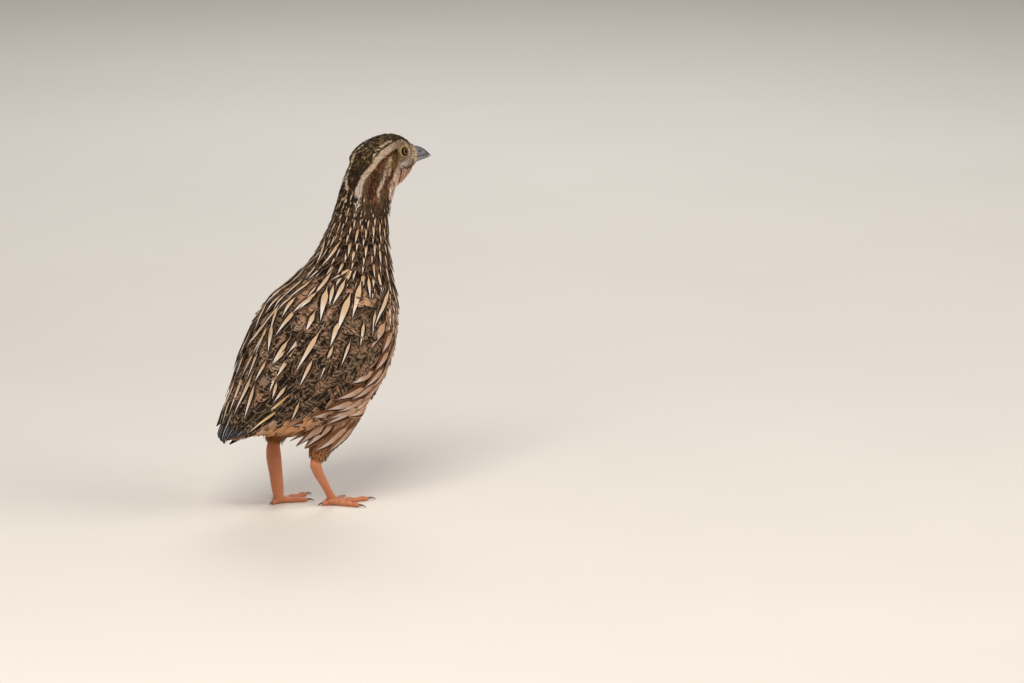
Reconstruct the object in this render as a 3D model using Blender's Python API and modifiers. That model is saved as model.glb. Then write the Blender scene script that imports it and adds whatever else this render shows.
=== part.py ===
"""Coturnix quail, a life-size still model: mid-stride, neck stretched up, head turned a little right.

Blender 4.5. The design is in millimetres and the meshes in metres, with +Z up, +X where the
body is heading and +Y the bird's left. Tail, torso and neck are one loft along a curved centre
line, parted by thin planar cuts, and the other parts are placed on it or on the head's own loft.
"""

import math

import bmesh
import bpy
import numpy as np
from mathutils import Matrix, Vector

MM = 0.001
GAP = 0.3

# The middle of the feet's and body's outline on the floor, which becomes the model's origin
STAND = (2.5, 0.0)

# Centre line of the body with its plumage, from the tail's tip to the base of the head:
# forward, height, half width, rise above the line, drop below it
BODY_STATIONS = np.array([
    (-56.0, 33.5, 4.5, 1.5, 1.5),
    (-50.0, 38.0, 9.0, 4.0, 3.5),
    (-43.0, 43.0, 14.5, 9.5, 8.0),
    (-34.0, 48.0, 21.0, 16.5, 16.0),
    (-22.0, 54.5, 28.0, 24.6, 26.0),
    (-9.0, 62.5, 32.5, 30.6, 32.5),
    (3.0, 72.5, 33.0, 32.2, 32.0),
    (12.0, 85.0, 29.5, 28.4, 28.5),
    (17.5, 97.0, 24.5, 22.3, 23.5),
    (21.0, 107.5, 19.5, 17.8, 17.5),
    (23.5, 117.0, 15.9, 15.6, 14.0),
    (26.0, 126.5, 13.2, 13.8, 12.0),
    (28.5, 135.5, 11.8, 13.4, 10.9),
    (31.0, 143.5, 10.8, 13.0, 12.0),
    (33.8, 150.0, 9.4, 11.5, 10.3),
])
BODY_SIDES = 24
TAIL_TORSO_CUT = 17.0
TORSO_NECK_CUT = 108.0
NECK_HEAD_CUT = 139.0
BODY_ROW = 5.0

# Head, in its own frame: forward from its middle, half width, top and bottom
HEAD_PLACE = (33.8, 0.0, 152.5)
HEAD_TURN = math.radians(-10)
HEAD_NOD = math.radians(-4)
HEAD_STATIONS = np.array([
    (-12.4, 1.5, 1.5, 1.5),
    (-11.0, 5.0, 4.2, 5.5),
    (-7.0, 8.4, 7.5, 9.5),
    (0.0, 10.0, 10.3, 13.0),
    (6.0, 9.4, 11.1, 14.0),
    (11.0, 7.6, 10.3, 12.6),
    (15.0, 5.6, 8.0, 9.4),
    (18.0, 4.0, 5.4, 6.4),
    (19.3, 3.5, 4.1, 4.7),
])
HEAD_SIDES = 24
HEAD_ROW = 2.2
HEAD_BACK = (-12.7, 0.0, 0.5)
NECK_STUB = 3.0

EYE_FORWARD = 11.0
EYE_ANGLE = math.radians(71)
EYE_RADIUS = 3.3
EYE_DEPTH = 2.4
LID_RADIUS = 2.75
LID_THICKNESS = 0.7
LID_OUT = 2.5

# Bill, in the head's frame: forward, half width, top of the upper half, line of the mouth,
# bottom of the lower half
BILL_STATIONS = np.array([
    (19.6, 3.1, 3.7, -1.3, -4.1),
    (21.5, 2.8, 3.2, -1.2, -3.8),
    (23.5, 2.3, 2.2, -1.3, -3.5),
    (25.5, 1.7, 0.7, -1.7, -3.2),
    (27.2, 1.0, -1.0, -2.2, -2.9),
    (28.2, 0.35, -2.3, -2.8, -2.7),
])
BILL_SIDES = 11
BILL_ROWS = 6
BILL_LEAST_HEIGHT = 0.25
LOWER_BILL_END = 27.4
MOUTH_CORNER = 15.5
MOUTH_OPENING = 0.35
NOSTRIL_PLACE = (21.8, 2.5, 1.1)
NOSTRIL_RADII = (1.5, 0.9, 0.45)
NOSTRIL_SLOPE = math.radians(13.5)

# Folded wing on the body's loft: distance along the centre line, the angles from the back of
# its upper and lower edges, and its depth below the plumage's outline
WING_STATIONS = np.array([
    (11.5, 84.0, 98.0, 1.6),
    (16.0, 66.0, 110.0, 2.2),
    (24.0, 46.0, 115.0, 3.0),
    (34.0, 32.0, 116.0, 3.5),
    (45.0, 27.0, 109.0, 3.8),
    (57.0, 27.0, 96.0, 3.8),
    (70.0, 33.0, 90.0, 3.6),
    (82.0, 46.0, 97.0, 3.3),
    (90.0, 64.0, 102.0, 3.0),
    (93.5, 82.0, 94.0, 2.6),
])
WING_FULL_DEPTH = 3.8
WING_CORE = 1.3
WING_CORE_END = 21.0
WING_ROWS = 14
WING_COLUMNS = 6
BED_MARGIN = 0.5
BED_HEIGHT = 8.0

# Tiers of the wing, from the rear forward: number of vanes, share of the wing's breadth from
# its upper edge where the first and last lie, distance along the body where their roots lie,
# and where the first, middle and last tips lie
WING_TIERS = {
    "primaries": (5, 0.52, 0.90, 46.0, (19.0, 13.5, 12.0)),
    "secondaries": (6, 0.40, 0.91, 62.0, (22.0, 27.0, 40.0)),
    "tertials": (4, 0.10, 0.34, 60.0, (30.0, 23.0, 19.0)),
    "greater_coverts": (7, 0.13, 0.87, 75.0, (45.0, 43.0, 52.0)),
    "median_coverts": (7, 0.13, 0.87, 83.0, (57.0, 57.0, 63.0)),
    "lesser_coverts": (5, 0.18, 0.82, 89.0, (70.0, 71.0, 75.0)),
}

# Tail: a core, lowered on its upper side, and vanes on each side of the middle, as the angle
# from the back and the distance of each one's tip, with the angle between neighbours and the
# height of the tips over the core
TAIL_CORE_START = 3.5
TAIL_CORE_DEPTH = 1.5
TAIL_CORE_EDGE = 2.0
TAIL_CORE_ROWS = 5
TAIL_ROOT = 15.8
TAIL_VANES = ((6.0, 0.3), (28.0, 0.8), (50.0, 1.6), (72.0, 2.6), (93.0, 4.0))
TAIL_VANE_SPACE = 22.0
TAIL_VANE_RISE = 1.0
TAIL_COVERTS = ((17.0, 7.0), (43.0, 8.0), (70.0, 9.0))
TAIL_COVERT_SPACE = 26.0
TAIL_COVERT_RISE = 2.2

# A vane: shares of its length with its half width there, as a share of the space between
# neighbours, and how far its outer edge stands above its inner one
VANE_PROFILE = ((0.0, 0.3), (0.36, 0.74), (0.72, 0.74), (0.92, 0.52), (1.0, 0.16))
VANE_THICKNESS = 0.5
VANE_TIP_THICKNESS = 0.3
VANE_STEP = 0.8
VANE_SINK = 0.3
VANE_RISE = 2.2

# Legs: forward, distance from the middle, height, and a thigh's radius, from the belly down to
# the hock; then the foot's ankle and the ways its front, inner, outer and hind toes point
LEGS = {
    "right": {
        "side": -1,
        "thigh": [(3.0, 14.0, 55.0, 12.0), (-1.5, 15.6, 46.0, 12.0), (-7.0, 15.8, 37.0, 9.8),
                  (-11.3, 15.3, 28.5, 5.6), (-14.0, 14.9, 20.8, 2.9)],
        "foot": (-0.5, 9.5, 3.6),
        "toes": (-12, 27, -62, 168),
    },
    "left": {
        "side": 1,
        "thigh": [(1.0, 13.0, 57.0, 12.0), (-4.0, 13.6, 48.0, 11.5), (-9.5, 13.5, 39.0, 9.0),
                  (-14.0, 13.0, 31.5, 5.6), (-16.8, 12.0, 24.4, 2.9)],
        "foot": (-16.5, 8.5, 3.6),
        "toes": (10, -28, 52, 192),
    },
}
HOCK_BARE = 0.3
HOCK_LENGTH = 2.0
TARSUS_RADII = (2.6, 2.3, 2.0, 2.0, 2.2)
ANKLE_HEIGHT = 5.0
ANKLE_LENGTH = 3.0
PAD_HEIGHT = 1.7
PAD_RADII = (2.6, 2.6, 2.0)
TOE_LENGTHS = (19.0, 13.5, 14.0, 4.5)
TOE_JOINTS = (3, 2, 4, 1)
TOE_RADIUS = 1.45
TOE_END_RADIUS = 1.0
JOINT_SWELL = 0.08
SOLE_SINK = 0.25
CLAW_LENGTHS = (3.8, 3.2, 3.2, 2.0)
CLAW_STEPS = 4
CLAW_BOW = 0.35
CLAW_DROP = 1.6
CLAW_TIP_HEIGHT = 0.35
CLAW_ROOT_SHARE = 0.8
CLAW_TAPER = 0.75

BALL_SIDES = 16
RING_SIDES = 20
RING_STEPS = 8
SMOOTH_ANGLE = math.radians(35)
SLOPE_STEP = 0.5
SLOPE_ANGLE = 0.02


def place_along(stations, distance):
    """A row of the stations' values at a distance along them, on a smooth curve."""
    knots = station_distances(stations)
    distance = min(max(distance, knots[0]), knots[-1])
    slopes = np.gradient(stations, knots, axis=0)
    i = min(int(np.searchsorted(knots, distance, side="right")) - 1, len(knots) - 2)
    span = knots[i + 1] - knots[i]
    u = (distance - knots[i]) / span
    start = (2 * u**3 - 3 * u**2 + 1) * stations[i] + (u**3 - 2 * u**2 + u) * span * slopes[i]
    end = (3 * u**2 - 2 * u**3) * stations[i + 1] + (u**3 - u**2) * span * slopes[i + 1]
    return start + end


def station_distances(stations):
    """Distance of each body station along the centre line; other tables start with theirs."""
    if stations is not BODY_STATIONS:
        return stations[:, 0]
    steps = np.hypot(np.diff(stations[:, 0]), np.diff(stations[:, 1]))
    return np.concatenate([[0.0], np.cumsum(steps)])


def body_axes(distance):
    """Centre, forward direction and back direction of the body's section."""
    here = place_along(BODY_STATIONS, distance)
    after = place_along(BODY_STATIONS, distance + SLOPE_STEP)
    before = place_along(BODY_STATIONS, distance - SLOPE_STEP)
    forward = Vector((after[0] - before[0], 0.0, after[1] - before[1])).normalized()
    back = Vector((-forward.z, 0.0, forward.x))
    return here, Vector((here[0], 0.0, here[1])), forward, back


def body_outline(distance, angle, side=1):
    """Point on the plumage's outline, at an angle from the back toward one side."""
    here, centre, _, back = body_axes(distance)
    height = here[3] if math.cos(angle) > 0 else here[4]
    across = Vector((0.0, side * here[2] * math.sin(angle), 0.0))
    return centre + back * (height * math.cos(angle)) + across


def outward(outline, distance, angle, side):
    """Direction square to the body's or the head's outline, away from it."""
    along = outline(distance + SLOPE_STEP, angle, side) - outline(distance - SLOPE_STEP, angle, side)
    round_it = outline(distance, angle + SLOPE_ANGLE, side) - outline(distance, angle - SLOPE_ANGLE, side)
    return along.cross(round_it).normalized() * side


def body_point(distance, angle, side=1, lift=0.0):
    """Point at a height over the plumage's outline, square to it."""
    point = body_outline(distance, angle, side)
    if lift == 0.0:
        return point
    return point + outward(body_outline, distance, angle, side) * lift


def head_matrix():
    """The head's frame in the model: turned, with the bill a little up."""
    turn = Matrix.Rotation(HEAD_TURN, 4, "Z") @ Matrix.Rotation(HEAD_NOD, 4, "Y")
    return Matrix.Translation(HEAD_PLACE) @ turn


def head_outline(forward, angle, side=1):
    """Point on the head's outline in the head's frame, at an angle from the crown."""
    _, half_width, top, bottom = place_along(HEAD_STATIONS, forward)
    height = top if math.cos(angle) > 0 else bottom
    return Vector((forward, side * half_width * math.sin(angle), height * math.cos(angle)))


def add_object(name, bm):
    """New object of a mesh drawn in millimetres."""
    bmesh.ops.recalc_face_normals(bm, faces=bm.faces)
    bmesh.ops.scale(bm, vec=(MM, MM, MM), verts=bm.verts)
    mesh = bpy.data.meshes.new(name)
    bm.to_mesh(mesh)
    bm.free()
    part = bpy.data.objects.new(name, mesh)
    bpy.context.scene.collection.objects.link(part)
    return part


def loft(name, rings, start=None, end=None):
    """Closed skin over rings of equal count. An end is a flat cap, or runs to a tip point.

    Every square is split the same way, so that two lofts over like rings stay parallel.
    """
    bm = bmesh.new()
    rows = [[bm.verts.new(point) for point in ring] for ring in rings]
    count = len(rows[0])
    for near, far in zip(rows, rows[1:]):
        for i in range(count):
            j = (i + 1) % count
            bm.faces.new((near[i], near[j], far[j]))
            bm.faces.new((near[i], far[j], far[i]))
    for row, tip in ((rows[0], start), (rows[-1], end)):
        if tip is None:
            bm.faces.new(row)
            continue
        point = bm.verts.new(tip)
        for i in range(count):
            bm.faces.new((row[i], row[(i + 1) % count], point))
    return add_object(name, bm)


def tube(name, points, radii, sides=2):
    """Round rod through the points, with a radius at each; sides is the bevel resolution."""
    curve = bpy.data.curves.new(name, "CURVE")
    curve.dimensions = "3D"
    curve.bevel_depth = MM
    curve.bevel_resolution = sides
    curve.use_fill_caps = True
    spline = curve.splines.new("POLY")
    spline.points.add(len(points) - 1)
    for knot, point, radius in zip(spline.points, points, radii):
        knot.co = (*(Vector(point) * MM), 1.0)
        knot.radius = radius
    rod = bpy.data.objects.new(name, curve)
    bpy.context.scene.collection.objects.link(rod)
    return to_mesh_object(rod)


def to_mesh_object(source):
    """Turns a curve, or an object with modifiers, into a plain mesh object of the same name."""
    bpy.context.view_layer.update()
    graph = bpy.context.evaluated_depsgraph_get()
    mesh = bpy.data.meshes.new_from_object(source.evaluated_get(graph))
    name = source.name
    matrix = source.matrix_world.copy()
    bpy.data.objects.remove(source)
    bm = bmesh.new()
    bm.from_mesh(mesh)
    bmesh.ops.remove_doubles(bm, verts=bm.verts, dist=0.000001)
    bmesh.ops.recalc_face_normals(bm, faces=bm.faces)
    bm.to_mesh(mesh)
    bm.free()
    result = bpy.data.objects.new(name, mesh)
    result.matrix_world = matrix
    bpy.context.scene.collection.objects.link(result)
    return result


def ball(name, centre, radii, turn=None):
    """Ellipsoid from a sphere primitive; radii along its own axes."""
    bm = bmesh.new()
    bmesh.ops.create_uvsphere(bm, u_segments=BALL_SIDES, v_segments=BALL_SIDES // 2, radius=1.0)
    frame = turn or Matrix.Identity(4)
    bmesh.ops.transform(bm, verts=bm.verts, matrix=Matrix.Translation(centre) @ frame
                        @ Matrix.Diagonal((*radii, 1.0)))
    return add_object(name, bm)


def ring_solid(name, centre, axis, radius, thickness):
    """Torus round an axis, turned from its circle with a Screw modifier."""
    bm = bmesh.new()
    bmesh.ops.create_circle(bm, segments=RING_STEPS, radius=thickness * MM)
    bmesh.ops.rotate(bm, verts=bm.verts, matrix=Matrix.Rotation(math.pi / 2, 3, "X"))
    bmesh.ops.translate(bm, verts=bm.verts, vec=(radius * MM, 0.0, 0.0))
    mesh = bpy.data.meshes.new(name)
    bm.to_mesh(mesh)
    bm.free()
    ring = bpy.data.objects.new(name, mesh)
    bpy.context.scene.collection.objects.link(ring)
    screw = ring.modifiers.new("Turn", "SCREW")
    screw.steps = RING_SIDES
    screw.render_steps = RING_SIDES
    screw.use_merge_vertices = True
    screw.merge_threshold = 0.00001
    turn = Vector(axis).to_track_quat("Z", "Y").to_matrix().to_4x4()
    ring.matrix_world = Matrix.Translation(Vector(centre) * MM) @ turn
    return to_mesh_object(ring)


def largest_surface(part):
    """Keeps only the closed surface with the most volume."""
    bm = bmesh.new()
    bm.from_mesh(part.data)
    left = set(bm.faces)
    shells = []
    while left:
        shell = {left.pop()}
        edge = list(shell)
        while edge:
            face = edge.pop()
            near = {other for side in face.edges for other in side.link_faces} & left
            left -= near
            shell |= near
            edge.extend(near)
        shells.append(shell)
    shells.sort(key=shell_volume)
    drop = [face for shell in shells[:-1] for face in shell]
    bmesh.ops.delete(bm, geom=drop, context="FACES")
    bm.to_mesh(part.data)
    bm.free()


def shell_volume(shell):
    """Volume inside a closed set of faces, by the fans of its polygons."""
    total = 0.0
    for face in shell:
        corners = [vertex.co for vertex in face.verts]
        for second, third in zip(corners[1:], corners[2:]):
            total += corners[0].dot(second.cross(third)) / 6
    return abs(total)


def boolean(part, operation, others, solver="EXACT"):
    """One Boolean of the part with a collection of closed solids, which is then removed."""
    group = bpy.data.collections.new("joined")
    bpy.context.scene.collection.children.link(group)
    for other in others:
        bpy.context.scene.collection.objects.unlink(other)
        group.objects.link(other)
    modifier = part.modifiers.new("Join", "BOOLEAN")
    modifier.operation = operation
    modifier.operand_type = "COLLECTION"
    modifier.collection = group
    modifier.solver = solver
    result = to_mesh_object(part)
    for other in list(group.objects):
        bpy.data.objects.remove(other)
    bpy.data.collections.remove(group)
    largest_surface(result)
    return result


def join(part, others, solver="EXACT"):
    return boolean(part, "UNION", others, solver)


def cut(part, others, solver="EXACT"):
    return boolean(part, "DIFFERENCE", others, solver)


def slice_off(part, point, normal):
    """Removes what lies on the normal's side of a plane, and closes the cut with a flat face."""
    bm = bmesh.new()
    bm.from_mesh(part.data)
    bmesh.ops.bisect_plane(bm, geom=bm.verts[:] + bm.edges[:] + bm.faces[:], dist=0.0000001,
                           plane_co=Vector(point) * MM, plane_no=normal, clear_outer=True)
    rim = [edge for edge in bm.edges if edge.is_boundary]
    bmesh.ops.holes_fill(bm, edges=rim, sides=0)
    bmesh.ops.recalc_face_normals(bm, faces=bm.faces)
    bm.to_mesh(part.data)
    bm.free()
    return part


def part_at(part, distance, keep):
    """Cuts a part square to the body's line, half a gap short of a cut, keeping one end."""
    _, centre, forward, _ = body_axes(distance)
    if keep == "rear":
        return slice_off(part, centre - forward * GAP / 2, forward)
    return slice_off(part, centre + forward * GAP / 2, -forward)


def body_loft(name, start, end, lift=0.0):
    """The plumage's outline between two distances along the body."""
    rows = max(2, round((end - start) / BODY_ROW))
    rings = []
    for row in range(rows + 1):
        distance = start + (end - start) * row / rows
        angles = [2 * math.pi * k / BODY_SIDES for k in range(BODY_SIDES)]
        rings.append([body_point(distance, angle, 1, lift) for angle in angles])
    return loft(name, rings)


def wing_angle(distance, share):
    """Angle from the back at a share of the wing's breadth from its upper edge."""
    _, upper, lower, _ = place_along(WING_STATIONS, distance)
    return math.radians(upper + (lower - upper) * share)


def wing_lift(distance, height):
    """Lift over the outline of a height in the wing, which is thinner toward both its ends."""
    depth = place_along(WING_STATIONS, distance)[3]
    return height * depth / WING_FULL_DEPTH - depth


def wing_slab(name, side, first, sink, top, margin=0.0):
    """Closed slab over the wing's patch of the body, from its bed up to a height.

    A margin only moves its outermost points, so a bed cut with one fits the wing's facets.
    """
    last = WING_STATIONS[-1, 0]
    rings = []
    for row in range(WING_ROWS + 1):
        share = 0.5 - 0.5 * math.cos(math.pi * row / WING_ROWS)
        distance = WING_STATIONS[0, 0] + (last - WING_STATIONS[0, 0]) * share
        if distance < first:
            continue
        half_width = place_along(BODY_STATIONS, distance)[2]
        angles = [wing_angle(distance, k / WING_COLUMNS) for k in range(WING_COLUMNS + 1)]
        angles[0] -= margin / half_width
        angles[-1] += margin / half_width
        if row == 0:
            distance -= margin
        if row == WING_ROWS:
            distance += margin
        high = [body_point(distance, angle, side, top(distance)) for angle in angles]
        low = [body_point(distance, angle, side, wing_lift(distance, 0.0) - sink) for angle in angles]
        rings.append(high + low[::-1])
    return loft(name, rings)


def wing_bed(side):
    """Cutter that sinks a folded wing's bed into the body."""
    return wing_slab("bed", side, 0.0, GAP, lambda distance: BED_HEIGHT, BED_MARGIN)


def vane(place):
    """One feather's vane, thin, bent to the surface it lies on, with a rounded tip.

    place(share, across, height) is a point at a share of its length, across it in spaces
    between neighbours, and at a height over its middle. Both faces are split alike.
    """
    bm = bmesh.new()
    faces = []
    for way in (1, -1):
        rows = []
        for share, half_width in VANE_PROFILE:
            thickness = VANE_THICKNESS + (VANE_TIP_THICKNESS - VANE_THICKNESS) * share
            rows.append([bm.verts.new(place(share, half_width * k, way * thickness / 2))
                         for k in (-1, 0, 1)])
        for near, far in zip(rows, rows[1:]):
            for k in (0, 1):
                bm.faces.new((near[k], near[k + 1], far[k + 1]))
                bm.faces.new((near[k], far[k + 1], far[k]))
        faces.append(rows)
    rims = [[row[0] for row in rows] + [rows[-1][1]] + [row[2] for row in rows[::-1]] + [rows[0][1]]
            for rows in faces]
    for k in range(len(rims[0])):
        after = (k + 1) % len(rims[0])
        bm.faces.new((rims[0][k], rims[0][after], rims[1][after], rims[1][k]))
    return add_object("vane", bm)


def tier_tip(tips, share):
    """Where a tier's tip lies at a share of the tier, on the curve through three of them."""
    first, middle, last = tips
    return first * (1 - share) * (1 - 2 * share) + 4 * middle * share * (1 - share) + (
        last * share * (2 * share - 1))


def wing_vane(side, root, tip, middle, space):
    """Vane of the wing along a share of its breadth. Each lies over the next one below it."""
    def place(share, across, height):
        distance = root + (tip - root) * share
        angle = wing_angle(distance, middle + across * space)
        rise = VANE_RISE * share - VANE_SINK * (1 - share)
        lift = wing_lift(distance, WING_CORE + rise)
        return body_point(distance, angle, side, lift + VANE_STEP * across + height)

    return vane(place)


def make_torso():
    """Torso with a shallow bed for each folded wing."""
    torso = body_loft("torso", TAIL_TORSO_CUT, TORSO_NECK_CUT)
    torso = part_at(torso, TAIL_TORSO_CUT, "front")
    torso = part_at(torso, TORSO_NECK_CUT, "rear")
    return cut(torso, [wing_bed(side) for side in (-1, 1)])


def make_neck():
    neck = body_loft("neck", TORSO_NECK_CUT, NECK_HEAD_CUT)
    neck = part_at(neck, TORSO_NECK_CUT, "front")
    return part_at(neck, NECK_HEAD_CUT, "rear")


def tail_core_lift(angle):
    """The tail's core lies below the outline on its upper side, where the vanes are."""
    return -TAIL_CORE_DEPTH * min(1.0, max(0.0, 0.5 + TAIL_CORE_EDGE * math.cos(angle)))


def tail_vane(side, angle, tip, space, height):
    """Vane of the tail along an angle from the back."""
    def place(share, across, over):
        distance = TAIL_ROOT + (tip - TAIL_ROOT) * share
        here = math.radians(angle + across * space)
        lift = -TAIL_CORE_DEPTH - VANE_SINK * (1 - share) + height * share
        return body_point(distance, here, side, lift + VANE_STEP * across + over)

    return vane(place)


def make_tail():
    """Tail: a core that tapers below, tail vanes in a wedge and a tier of coverts over them."""
    rings = []
    for row in range(TAIL_CORE_ROWS + 1):
        distance = TAIL_CORE_START + (TAIL_TORSO_CUT - TAIL_CORE_START) * row / TAIL_CORE_ROWS
        angles = [2 * math.pi * k / BODY_SIDES for k in range(BODY_SIDES)]
        rings.append([body_point(distance, angle, 1, tail_core_lift(angle)) for angle in angles])
    tail = loft("tail", rings)
    vanes = []
    for side in (-1, 1):
        for angle, tip in TAIL_VANES:
            vanes.append(tail_vane(side, angle, tip, TAIL_VANE_SPACE, TAIL_VANE_RISE))
        for angle, tip in TAIL_COVERTS:
            vanes.append(tail_vane(side, angle, tip, TAIL_COVERT_SPACE, TAIL_COVERT_RISE))
    tail = join(tail, vanes)
    tail = part_at(tail, TAIL_TORSO_CUT, "rear")
    return cut(tail, [wing_bed(side) for side in (-1, 1)])


def make_wing(side):
    """Folded wing: a thin core on its bed, with its feathers as vanes in tiers."""
    name = "wing_left" if side > 0 else "wing_right"
    core = wing_slab(name, side, WING_CORE_END, 0.0, lambda distance: wing_lift(distance, WING_CORE))
    vanes = []
    for count, first, last, root, tips in WING_TIERS.values():
        space = (last - first) / (count - 1)
        for k in range(count):
            share = k / (count - 1)
            tip = tier_tip(tips, share)
            vanes.append(wing_vane(side, root, tip, first + (last - first) * share, space))
    return join(core, vanes)


def eye_frame(side):
    """Middle of the eyeball and the way it looks out, in the model."""
    out = outward(head_outline, EYE_FORWARD, EYE_ANGLE, side)
    matrix = head_matrix()
    centre = matrix @ (head_outline(EYE_FORWARD, EYE_ANGLE, side) - out * EYE_DEPTH)
    return centre, (matrix.to_3x3() @ out).normalized()


def make_head():
    """Head with a ring of lid round each eye, the line of the mouth and a stub of the neck."""
    rows = round((HEAD_STATIONS[-1, 0] - HEAD_STATIONS[0, 0]) / HEAD_ROW)
    rings = []
    for row in range(rows + 1):
        forward = HEAD_STATIONS[0, 0] + (HEAD_STATIONS[-1, 0] - HEAD_STATIONS[0, 0]) * row / rows
        angles = [2 * math.pi * k / HEAD_SIDES for k in range(HEAD_SIDES)]
        rings.append([head_matrix() @ head_outline(forward, angle) for angle in angles])
    head = loft("head", rings, start=head_matrix() @ Vector(HEAD_BACK))
    last = station_distances(BODY_STATIONS)[-1]
    stub = body_loft("stub", NECK_HEAD_CUT - NECK_STUB, last)
    lids = []
    sockets = []
    for side in (-1, 1):
        centre, out = eye_frame(side)
        lids.append(ring_solid("lid", centre + out * LID_OUT, out, LID_RADIUS, LID_THICKNESS))
        sockets.append(ball("socket", centre, (EYE_RADIUS + GAP,) * 3))
    head = join(head, [stub] + lids)
    head = cut(head, sockets + [mouth_groove()])
    return part_at(head, NECK_HEAD_CUT, "front")


def mouth_groove():
    """Thin blade that opens the line of the mouth from the bill back into the cheek."""
    first, _, _, mouth, _ = BILL_STATIONS[0]
    length = 2 * (first - MOUTH_CORNER)
    bm = bmesh.new()
    bmesh.ops.create_cube(bm, size=1.0)
    blade = Matrix.Translation((first, 0.0, mouth)) @ Matrix.Diagonal(
        (length, MOUTH_CORNER, MOUTH_OPENING, 1.0))
    bmesh.ops.transform(bm, verts=bm.verts, matrix=head_matrix() @ blade)
    return add_object("groove", bm)


def make_eye(side):
    centre, _ = eye_frame(side)
    return ball("eye_left" if side > 0 else "eye_right", centre, (EYE_RADIUS,) * 3)


def bill_rings(upper, last):
    """Sections of one half of the bill, arched away from the flat line of the mouth."""
    first = BILL_STATIONS[0, 0]
    rings = []
    for row in range(BILL_ROWS + 1):
        forward = first + (last - first) * row / BILL_ROWS
        _, half_width, top, mouth, bottom = place_along(BILL_STATIONS, forward)
        ring = []
        for k in range(BILL_SIDES):
            angle = math.pi * k / (BILL_SIDES - 1)
            across = half_width * math.cos(angle)
            arch = math.sin(angle)
            if upper:
                height = mouth + GAP / 2 + max(top - mouth - GAP / 2, BILL_LEAST_HEIGHT) * arch
            else:
                height = mouth - GAP / 2 - max(mouth - GAP / 2 - bottom, BILL_LEAST_HEIGHT) * arch
            ring.append(head_matrix() @ Vector((forward, across, height)))
        rings.append(ring)
    return rings


def make_bill_upper():
    bill = loft("bill_upper", bill_rings(True, BILL_STATIONS[-1, 0]))
    turn = head_matrix().to_3x3().to_4x4() @ Matrix.Rotation(NOSTRIL_SLOPE, 4, "Y")
    forward, across, height = NOSTRIL_PLACE
    nostrils = []
    for side in (-1, 1):
        centre = head_matrix() @ Vector((forward, side * across, height))
        nostrils.append(ball("nostril", centre, NOSTRIL_RADII, turn))
    return cut(bill, nostrils)


def make_bill_lower():
    return loft("bill_lower", bill_rings(False, LOWER_BILL_END))


def leg_point(leg, place):
    """A leg's point, whose side distance is measured out from the middle, in the model."""
    return Vector((place[0], leg["side"] * place[1], place[2]))


def make_thigh(side_name):
    """Feathered thigh: a tapered cone cut clear of the torso above and square at the hock."""
    leg = LEGS[side_name]
    points = [leg_point(leg, place[:3]) for place in leg["thigh"]]
    radii = [place[3] for place in leg["thigh"]]
    thigh = tube("thigh_" + side_name, points, radii, 4)
    middle, down = hock_cut(leg)
    thigh = slice_off(thigh, middle - down * GAP / 2, down)
    return cut(thigh, [body_loft("torso_room", TAIL_TORSO_CUT, TORSO_NECK_CUT, GAP)])


def hock_cut(leg):
    """Where the feathers end above the hock, and the way down the leg there."""
    above = leg_point(leg, leg["thigh"][-2][:3])
    hock = leg_point(leg, leg["thigh"][-1][:3])
    return hock.lerp(above, HOCK_BARE), (hock - above).normalized()


def make_tarsus(side_name):
    """Bare leg from the end of the thigh's feathers, round the hock and down to the ankle."""
    leg = LEGS[side_name]
    hock = leg_point(leg, leg["thigh"][-1][:3])
    foot = leg_point(leg, leg["foot"])
    middle, down = hock_cut(leg)
    steps = len(TARSUS_RADII) - 1
    points = [middle - down * HOCK_LENGTH] + [hock.lerp(foot, k / steps) for k in range(steps + 1)]
    tarsus = tube("tarsus_" + side_name, points, (TARSUS_RADII[0],) + TARSUS_RADII, 3)
    tarsus = slice_off(tarsus, middle + down * GAP / 2, -down)
    return slice_off(tarsus, (0.0, 0.0, ANKLE_HEIGHT + GAP), (0, 0, -1))


def toe_points(leg, index):
    """Middle line of a toe on the floor, with its radii: thick at each joint."""
    foot = leg_point(leg, leg["foot"])
    angle = math.radians(leg["toes"][index])
    way = Vector((math.cos(angle), math.sin(angle), 0.0))
    length = TOE_LENGTHS[index]
    joints = TOE_JOINTS[index]
    steps = joints * 2 + 1
    points = []
    radii = []
    for k in range(steps + 1):
        share = k / steps
        base = TOE_RADIUS + (TOE_END_RADIUS - TOE_RADIUS) * share
        radius = base * (1 + JOINT_SWELL if k % 2 else 1 - JOINT_SWELL)
        place = Vector((foot.x, foot.y, 0.0)) + way * (length * share)
        place.z = radius - SOLE_SINK
        points.append(place)
        radii.append(radius)
    return points, radii, way


def make_foot(side_name):
    """Pad, ankle and four toes, with flat soles on the floor."""
    leg = LEGS[side_name]
    foot = leg_point(leg, leg["foot"])
    middle = Vector((foot.x, foot.y, PAD_HEIGHT))
    pad = ball("foot_" + side_name, middle, PAD_RADII)
    hock = leg_point(leg, leg["thigh"][-1][:3])
    up = (hock - foot).normalized()
    pieces = [tube("ankle", [middle, foot, foot + up * ANKLE_LENGTH], [TARSUS_RADII[-1]] * 3, 3)]
    for index in range(4):
        points, radii, _ = toe_points(leg, index)
        pieces.append(tube("toe", points, radii, 2))
    solid = join(pad, pieces)
    solid = slice_off(solid, (0.0, 0.0, ANKLE_HEIGHT), (0, 0, 1))
    return slice_off(solid, (0.0, 0.0, 0.0), (0, 0, -1))


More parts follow.
